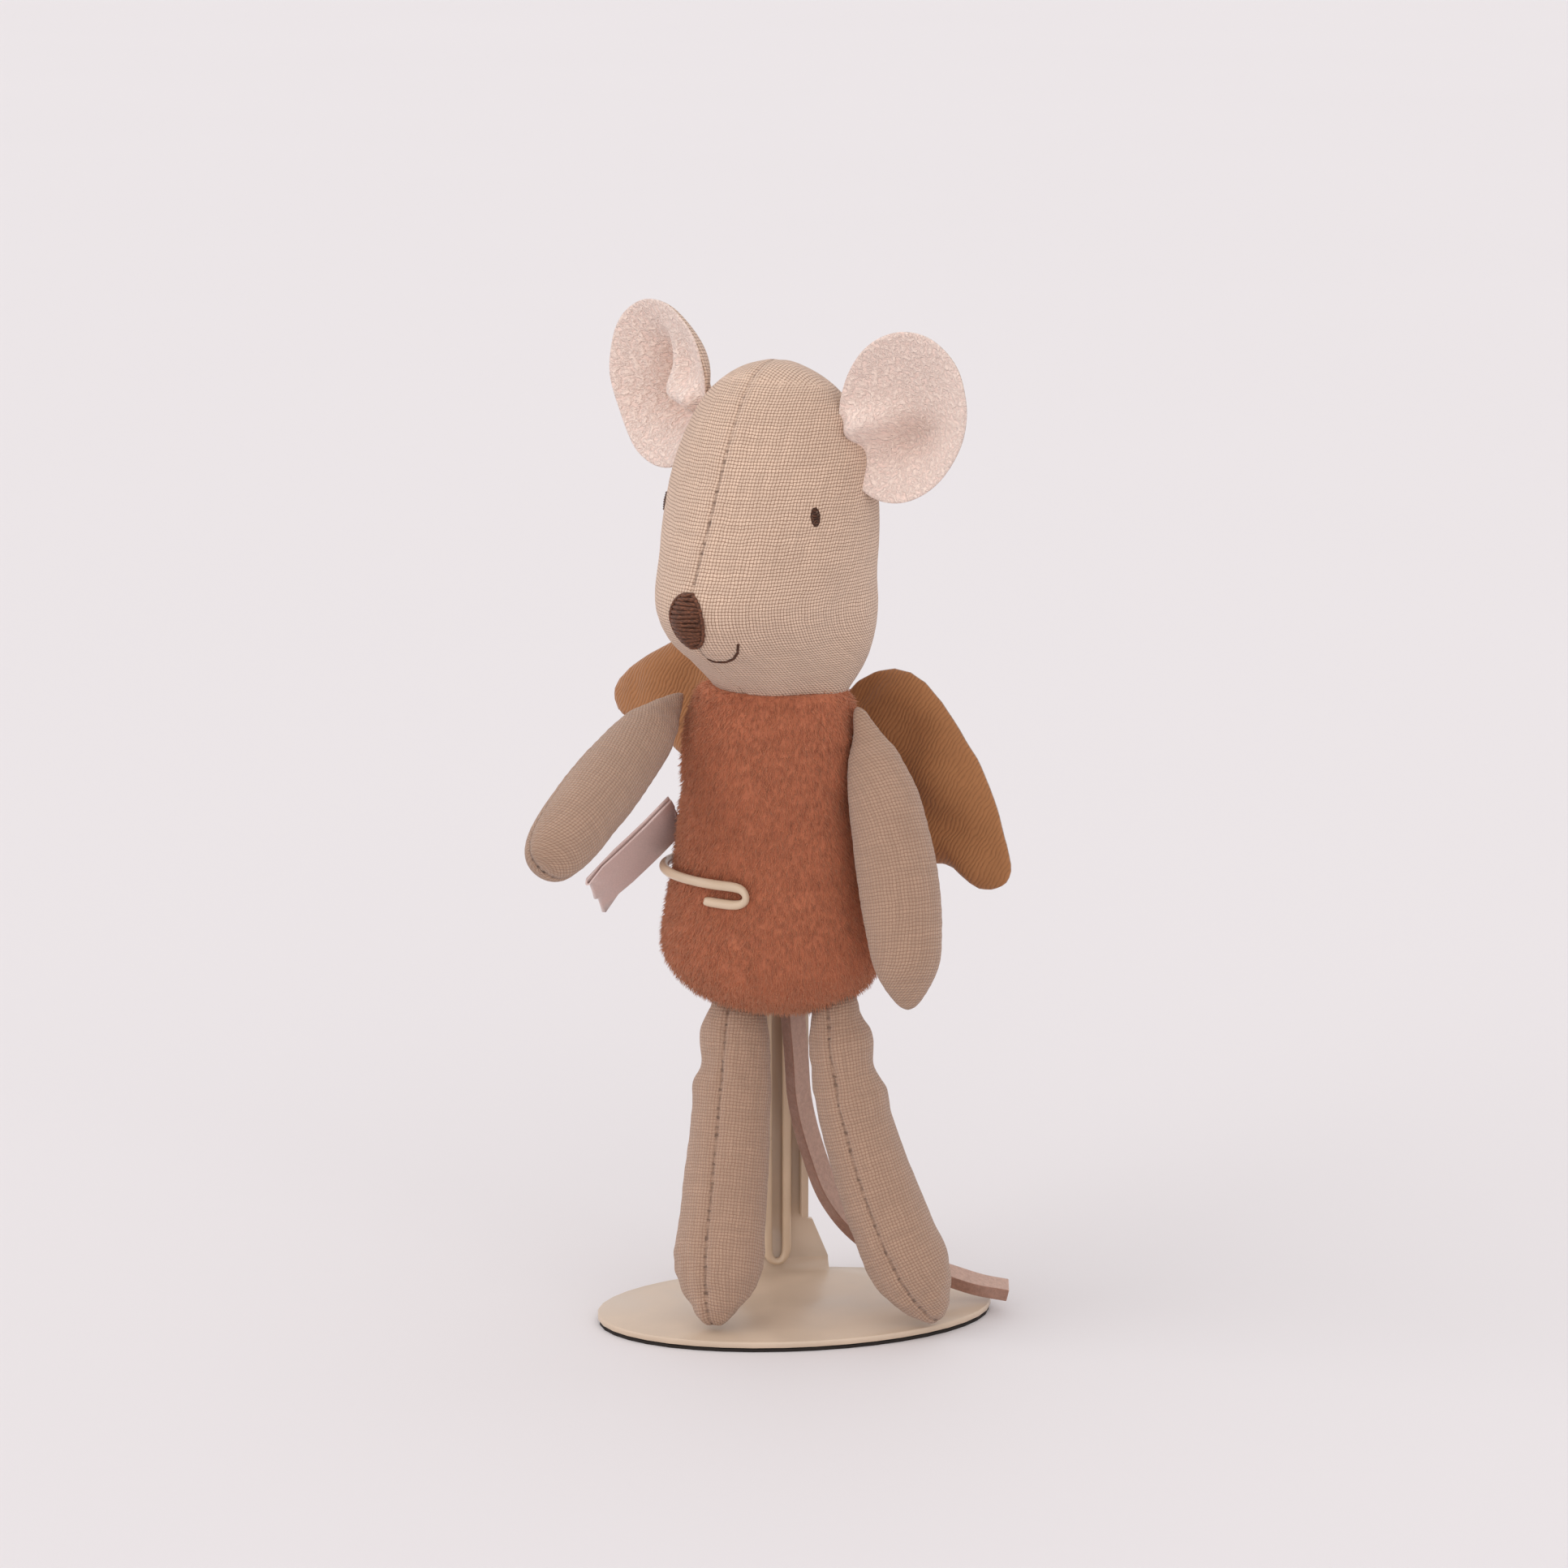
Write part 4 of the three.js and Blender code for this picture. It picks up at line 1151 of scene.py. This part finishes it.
def build_wings():
    """Lightly padded wings of mustard twill with a checked back, sewn together at the mouse's back."""
    twill, print_cloth = twill_finish(), printed_finish()
    for name in ("right", "left"):
        centre, level, upward, normal, reach = flat_outline(f"wing_{name}_front")
        root = JOINTS[f"wing_{name}_flap"] - centre
        root_x, root_y = root.dot(level), root.dot(upward)

        def lift(x, y):
            away = math.hypot(x - root_x, y - root_y)
            tuck = 1.6 * MM * (1 - smooth_step(away, 1 * MM, 7 * MM))
            swell = 0.9 * MM * noise.noise(Vector((x, y, 0)) / (6 * MM))
            turn = math.atan2(y - root_y, x - root_x)
            fold = 0.5 * MM * noise.noise(Vector((4 * turn, away / (9 * MM), 2)))
            return tuck + swell + fold * smooth_step(away, 2 * MM, 8 * MM) - 0.4 * MM

        place = Matrix.Translation(centre) @ Matrix((level, upward, normal)).transposed().to_4x4()
        front, back = sewn_pair(f"wing_{name}", reach, WING_THICKNESS, lift, place, around=160, rings=22)
        place_piece(front, twill, f"wing_{name}", [f"wing_{name}_front"])
        place_piece(back, print_cloth, f"wing_{name}", [f"wing_{name}_back"])


# Limbs


ARM_DEPTH = 7.8 * MM
LEG_DEPTH = 8.8 * MM

# Each row is a share of the length, and the half width and half depth as shares of the whole ones.
POINTED_ARM = [
    (0, 0.125, 0.15), (0.2, 0.35, 0.39), (0.45, 0.46, 0.485), (0.75, 0.5, 0.5), (0.88, 0.47, 0.48),
    (1, 0.3, 0.32),
]
BLUNT_ARM = [(0, 0.125, 0.15), (0.2, 0.35, 0.36), (0.45, 0.46, 0.43), (0.75, 0.5, 0.46), (1, 0.5, 0.54)]
LEG_ROWS = [
    (0, 0.404, 0.386), (0.3, 0.413, 0.409), (0.7, 0.48, 0.477), (0.87, 0.54, 0.52), (1, 0.34, 0.42),
]


def limb(name, route, rows, width, thickness, facing, held_to, folds):
    """One stuffed limb with seams along it. folds(share of length, place) lifts or sinks its cloth."""
    sized = [(share, w * width / MM, d * thickness / MM, d * thickness / MM) for share, w, d in rows]
    bm = stuffed_form(route, sized, facing, fullness=2.7, around=64, rings=72)
    bm.transform(MOUSE_PLACE)
    made = object_from(bm, name)
    away = made.data.attributes["from_seam"].data
    start = MOUSE_PLACE @ route.at(0)[0]
    shift_along_normals(made, lambda place, index: 0.05 * MM * smooth_step(away[index].value, 0, 2))

    def held(place, index):
        sewn_end = 1 - smooth_step((place - start).length, 0, held_to)
        return max(sewn_end, 0.9 * bell(away[index].value, 0.5))

    plump(made, held, 0.45 * MM, surplus=0.03)
    subdivide(made)
    sink_seams(made)
    shift_along_normals(made, lambda place, index: folds((place - start).length, place))
    return made


def build_arms():
    """Arms sewn to the shoulders at their points: the left one hangs and the right one reaches forwards."""
    # The arms' linen is painted darker than the head's: painted shade
    linen = linen_finish("arm_linen", tint=colours().shaded_limb_linen)
    for name, side in (("right", -1), ("left", 1)):
        shoulder = JOINTS[f"arm_{name}_swing"] - Vector((NECK.x, 0, -0.2 * MM))
        if side > 0:
            pull, tip, facing = mm(17, -4.4, 54.8), mm(18.2, -6.7, 38), Vector((1, 0.35, 0))
            rows = POINTED_ARM
        else:
            pull, tip, facing = mm(-12.4, -14, 63.6), mm(-13.8, -30.4, 55.6), Vector((0.75, 0, -1))
            rows = BLUNT_ARM

        def folds(distance, place):
            near = 1 - smooth_step(distance, 4 * MM, 12 * MM)
            gathered = near * 0.25 * noise.noise(place / (2.2 * MM))
            return (gathered + 0.1 * noise.noise(place / (4 * MM))) * MM

        route = Route(shoulder, pull, tip)
        width = sizes().arm_width
        arm = limb(f"arm_{name}_linen", route, rows, ARM_DEPTH, width, facing, 2 * MM, folds)
        covers = [f"arm_{name}_cover", f"arm_{name}_stuffing"]
        place_piece(arm, linen, None, covers)
        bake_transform(arm)


def build_legs():
    """Legs with a seam down the front, soft and creased where they are sewn in under the seat."""
    # The legs' linen is painted darker than the head's: painted shade
    linen = linen_finish("leg_linen", tint=colours().shaded_limb_linen)
    for name, side in (("right", -1), ("left", 1)):
        hip = JOINTS[f"leg_{name}_swing"] - Vector((NECK.x, 0, -7.6 * MM))
        if side > 0:
            pull, toe = mm(9.3, -1.6, 19), mm(20.2, -2.2, 2.1)
            width = sizes().leg_width - 0.9 * MM
        else:
            pull, toe = mm(-3.5, -4, 19), mm(-2, -12.8, 2.1)
            width = sizes().leg_width
        middle = MOUSE_PLACE @ hip

        def folds(distance, place):
            outer = smooth_step((place.x - middle.x) * side, -1 * MM, 3.5 * MM)
            upper = smooth_step(distance, 3 * MM, 5 * MM) * (1 - smooth_step(distance, 11 * MM, 17 * MM))
            wave = math.cos((distance / MM - 7.4) * 2 * math.pi / 6.4)
            soft = noise.noise(place / (3.2 * MM)) * 0.28 + 0.1 * noise.noise(place / (1.3 * MM))
            toes = smooth_step(distance, 27 * MM, 35 * MM) * 0.2 * noise.noise(place / (1.5 * MM))
            return (upper * (outer * 0.32 * wave + soft) + (1 - upper) * 0.4 * soft + toes) * MM

        route = Route(hip, pull, toe)
        leg = limb(f"leg_{name}_linen", route, LEG_ROWS, width, LEG_DEPTH, FRONT, 3 * MM, folds)
        covers = [f"leg_{name}_cover", f"leg_{name}_stuffing"]
        place_piece(leg, linen, None, covers)
        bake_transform(leg)


def build_label():
    """The folded ribbon in the side seam, slightly curled."""
    bm = merged_copy("care_label")
    bmesh.ops.join_triangles(
        bm, faces=bm.faces, angle_face_threshold=math.radians(20), angle_shape_threshold=math.radians(80)
    )
    bmesh.ops.subdivide_edges(bm, edges=bm.edges, cuts=5, use_grid_fill=True)
    low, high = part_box("care_label")
    for vert in bm.verts:
        out = (high.x - vert.co.x) / (high.x - low.x)
        curl = 0.7 * math.sin(5.2 * out + 0.4) * smooth_step(out, 0.05, 0.5)
        vert.co.y += curl * MM
        vert.co.z += (vert.co.z - (low.z + high.z) / 2) * 0.15
        vert.co.z += 0.5 * MM * smooth_step(out, 0.6, 1) * math.sin(3 * vert.co.z / MM)
    label = object_from(bm, "folded_ribbon")
    place_piece(label, ribbon_finish(), "doll", ["care_label"])


# Camera, floor and light


CAMERA_TURN = math.radians(22)
CAMERA_TILT = math.radians(12.2)
CAMERA_DISTANCE = 0.515
CAMERA_HEIGHT = 0.1714
CAMERA_LENS = 111.8
CAMERA_ASIDE = -0.0012
DAYLIGHT = 0.9  # strength of the light from all round


def build_camera():
    """The camera, a little above the mouse and to its left."""
    data = bpy.data.cameras.new("camera")
    data.lens = CAMERA_LENS
    data.sensor_width = 36
    data.clip_start = 0.01
    camera = bpy.data.objects.new("camera", data)
    bpy.context.scene.collection.objects.link(camera)
    aside = Vector((math.cos(CAMERA_TURN), math.sin(CAMERA_TURN), 0))
    back = Vector((math.sin(CAMERA_TURN), -math.cos(CAMERA_TURN), 0))
    camera.location = back * CAMERA_DISTANCE + aside * CAMERA_ASIDE + UP * CAMERA_HEIGHT
    look = -back * math.cos(CAMERA_TILT) - UP * math.sin(CAMERA_TILT)
    camera.rotation_euler = look.to_track_quat("-Z", "Y").to_euler()
    bpy.context.scene.camera = camera


def soft_sun(name, towards, power, spread):
    """A wide soft light from far off, the same all over the floor."""
    data = bpy.data.lights.new(name, "SUN")
    data.energy = power
    data.angle = math.radians(spread)
    lamp = bpy.data.objects.new(name, data)
    lamp.rotation_euler = Vector(towards).to_track_quat("Z", "Y").to_euler()
    bpy.context.scene.collection.objects.link(lamp)


def build_stage():
    """A pale floor, light from all round and soft lamps above it."""
    bm = bmesh.new()
    bmesh.ops.create_circle(bm, cap_ends=True, segments=96, radius=6)
    floor = object_from(bm, "floor")
    finish = Finish("studio_floor", 0.7, Specular_IOR_Level=0.2)
    mottle = finish.noise(finish.object_mm(), 0.004, 2.0)
    base = colours().floor
    floor.data.materials.append(finish.done(finish.mix(mottle, shade(base, 0.985), base)))
    world = bpy.data.worlds.new("studio")
    world.use_nodes = True
    background = world.node_tree.nodes["Background"]
    background.inputs["Color"].default_value = (*colours().daylight, 1)
    background.inputs["Strength"].default_value = DAYLIGHT
    bpy.context.scene.world = world
    bpy.context.scene.view_settings.view_transform = "Standard"
    soft_sun("key", (-0.75, -0.65, 0.6), 0.8, 60)
    soft_sun("fill", (0.75, -0.85, 0.45), 0.55, 60)


# Operators


class BuildCamera(bpy.types.Operator):
    """Set up the camera"""

    bl_idname = "linen_mouse.camera"
    bl_label = "Camera"

    def execute(self, context):
        build_camera()
        return {"FINISHED"}


class BuildTail(bpy.types.Operator):
    """Cut and hang the suede tail"""

    bl_idname = "linen_mouse.tail"
    bl_label = "Tail"

    def execute(self, context):
        build_tail()
        return {"FINISHED"}


class BuildStand(bpy.types.Operator):
    """Paint the stand's sheet metal and lay the dark pad that stands for its contact shadow"""

    bl_idname = "linen_mouse.stand"
    bl_label = "Stand"

    def execute(self, context):
        build_stand()
        return {"FINISHED"}


class BuildWire(bpy.types.Operator):
    """Round and paint the wire clip"""

    bl_idname = "linen_mouse.wire"
    bl_label = "Wire clip"

    def execute(self, context):
        build_wire()
        return {"FINISHED"}


class BuildBody(bpy.types.Operator):
    """Stuff the plush body and brush its pile"""

    bl_idname = "linen_mouse.body"
    bl_label = "Body"

    def execute(self, context):
        build_body()
        return {"FINISHED"}


class BuildHead(bpy.types.Operator):
    """Stuff the linen head and embroider its face"""

    bl_idname = "linen_mouse.head"
    bl_label = "Head and face"

    def execute(self, context):
        build_face(build_head())
        return {"FINISHED"}


class BuildEars(bpy.types.Operator):
    """Sew the two ears"""

    bl_idname = "linen_mouse.ears"
    bl_label = "Ears"

    def execute(self, context):
        build_ears()
        return {"FINISHED"}


class BuildArms(bpy.types.Operator):
    """Stuff the two arms"""

    bl_idname = "linen_mouse.arms"
    bl_label = "Arms"

    def execute(self, context):
        build_arms()
        return {"FINISHED"}


class BuildLegs(bpy.types.Operator):
    """Stuff the two legs"""

    bl_idname = "linen_mouse.legs"
    bl_label = "Legs"

    def execute(self, context):
        build_legs()
        return {"FINISHED"}


class BuildWings(bpy.types.Operator):
    """Sew the two wings"""

    bl_idname = "linen_mouse.wings"
    bl_label = "Wings"

    def execute(self, context):
        build_wings()
        return {"FINISHED"}


class BuildLabel(bpy.types.Operator):
    """Fold the blank ribbon in the side seam"""

    bl_idname = "linen_mouse.label"
    bl_label = "Label"

    def execute(self, context):
        build_label()
        return {"FINISHED"}


class BuildStage(bpy.types.Operator):
    """Lay the floor and hang the lamps"""

    bl_idname = "linen_mouse.stage"
    bl_label = "Stage"

    def execute(self, context):
        build_stage()
        return {"FINISHED"}


STEPS = (
    BuildCamera, BuildTail, BuildStand, BuildWire, BuildBody, BuildHead,
    BuildEars, BuildArms, BuildLegs, BuildWings, BuildLabel, BuildStage,
)


class LinenMousePanel(bpy.types.Panel):
    """The mouse's steps, sizes and colours"""

    bl_idname = "VIEW3D_PT_linen_mouse"
    bl_label = "Linen Mouse"
    bl_space_type = "VIEW_3D"
    bl_region_type = "UI"
    bl_category = "Linen Mouse"

    def draw(self, context):
        for step in STEPS:
            self.layout.operator(step.bl_idname)
        for group in (context.scene.linen_mouse_sizes, context.scene.linen_mouse_colours):
            for name in group.__annotations__:
                self.layout.prop(group, name)


CLASSES = (LinenMouseSizes, LinenMouseColours, *STEPS, LinenMousePanel)


def register():
    for each in CLASSES:
        bpy.utils.register_class(each)
    bpy.types.Scene.linen_mouse_sizes = bpy.props.PointerProperty(type=LinenMouseSizes)
    bpy.types.Scene.linen_mouse_colours = bpy.props.PointerProperty(type=LinenMouseColours)


def unregister():
    del bpy.types.Scene.linen_mouse_colours
    del bpy.types.Scene.linen_mouse_sizes
    for each in reversed(CLASSES):
        bpy.utils.unregister_class(each)


def main():
    register()
    for step in STEPS:
        group, name = step.bl_idname.split(".")
        getattr(getattr(bpy.ops, group), name)()


if __name__ == "__main__":
    main()
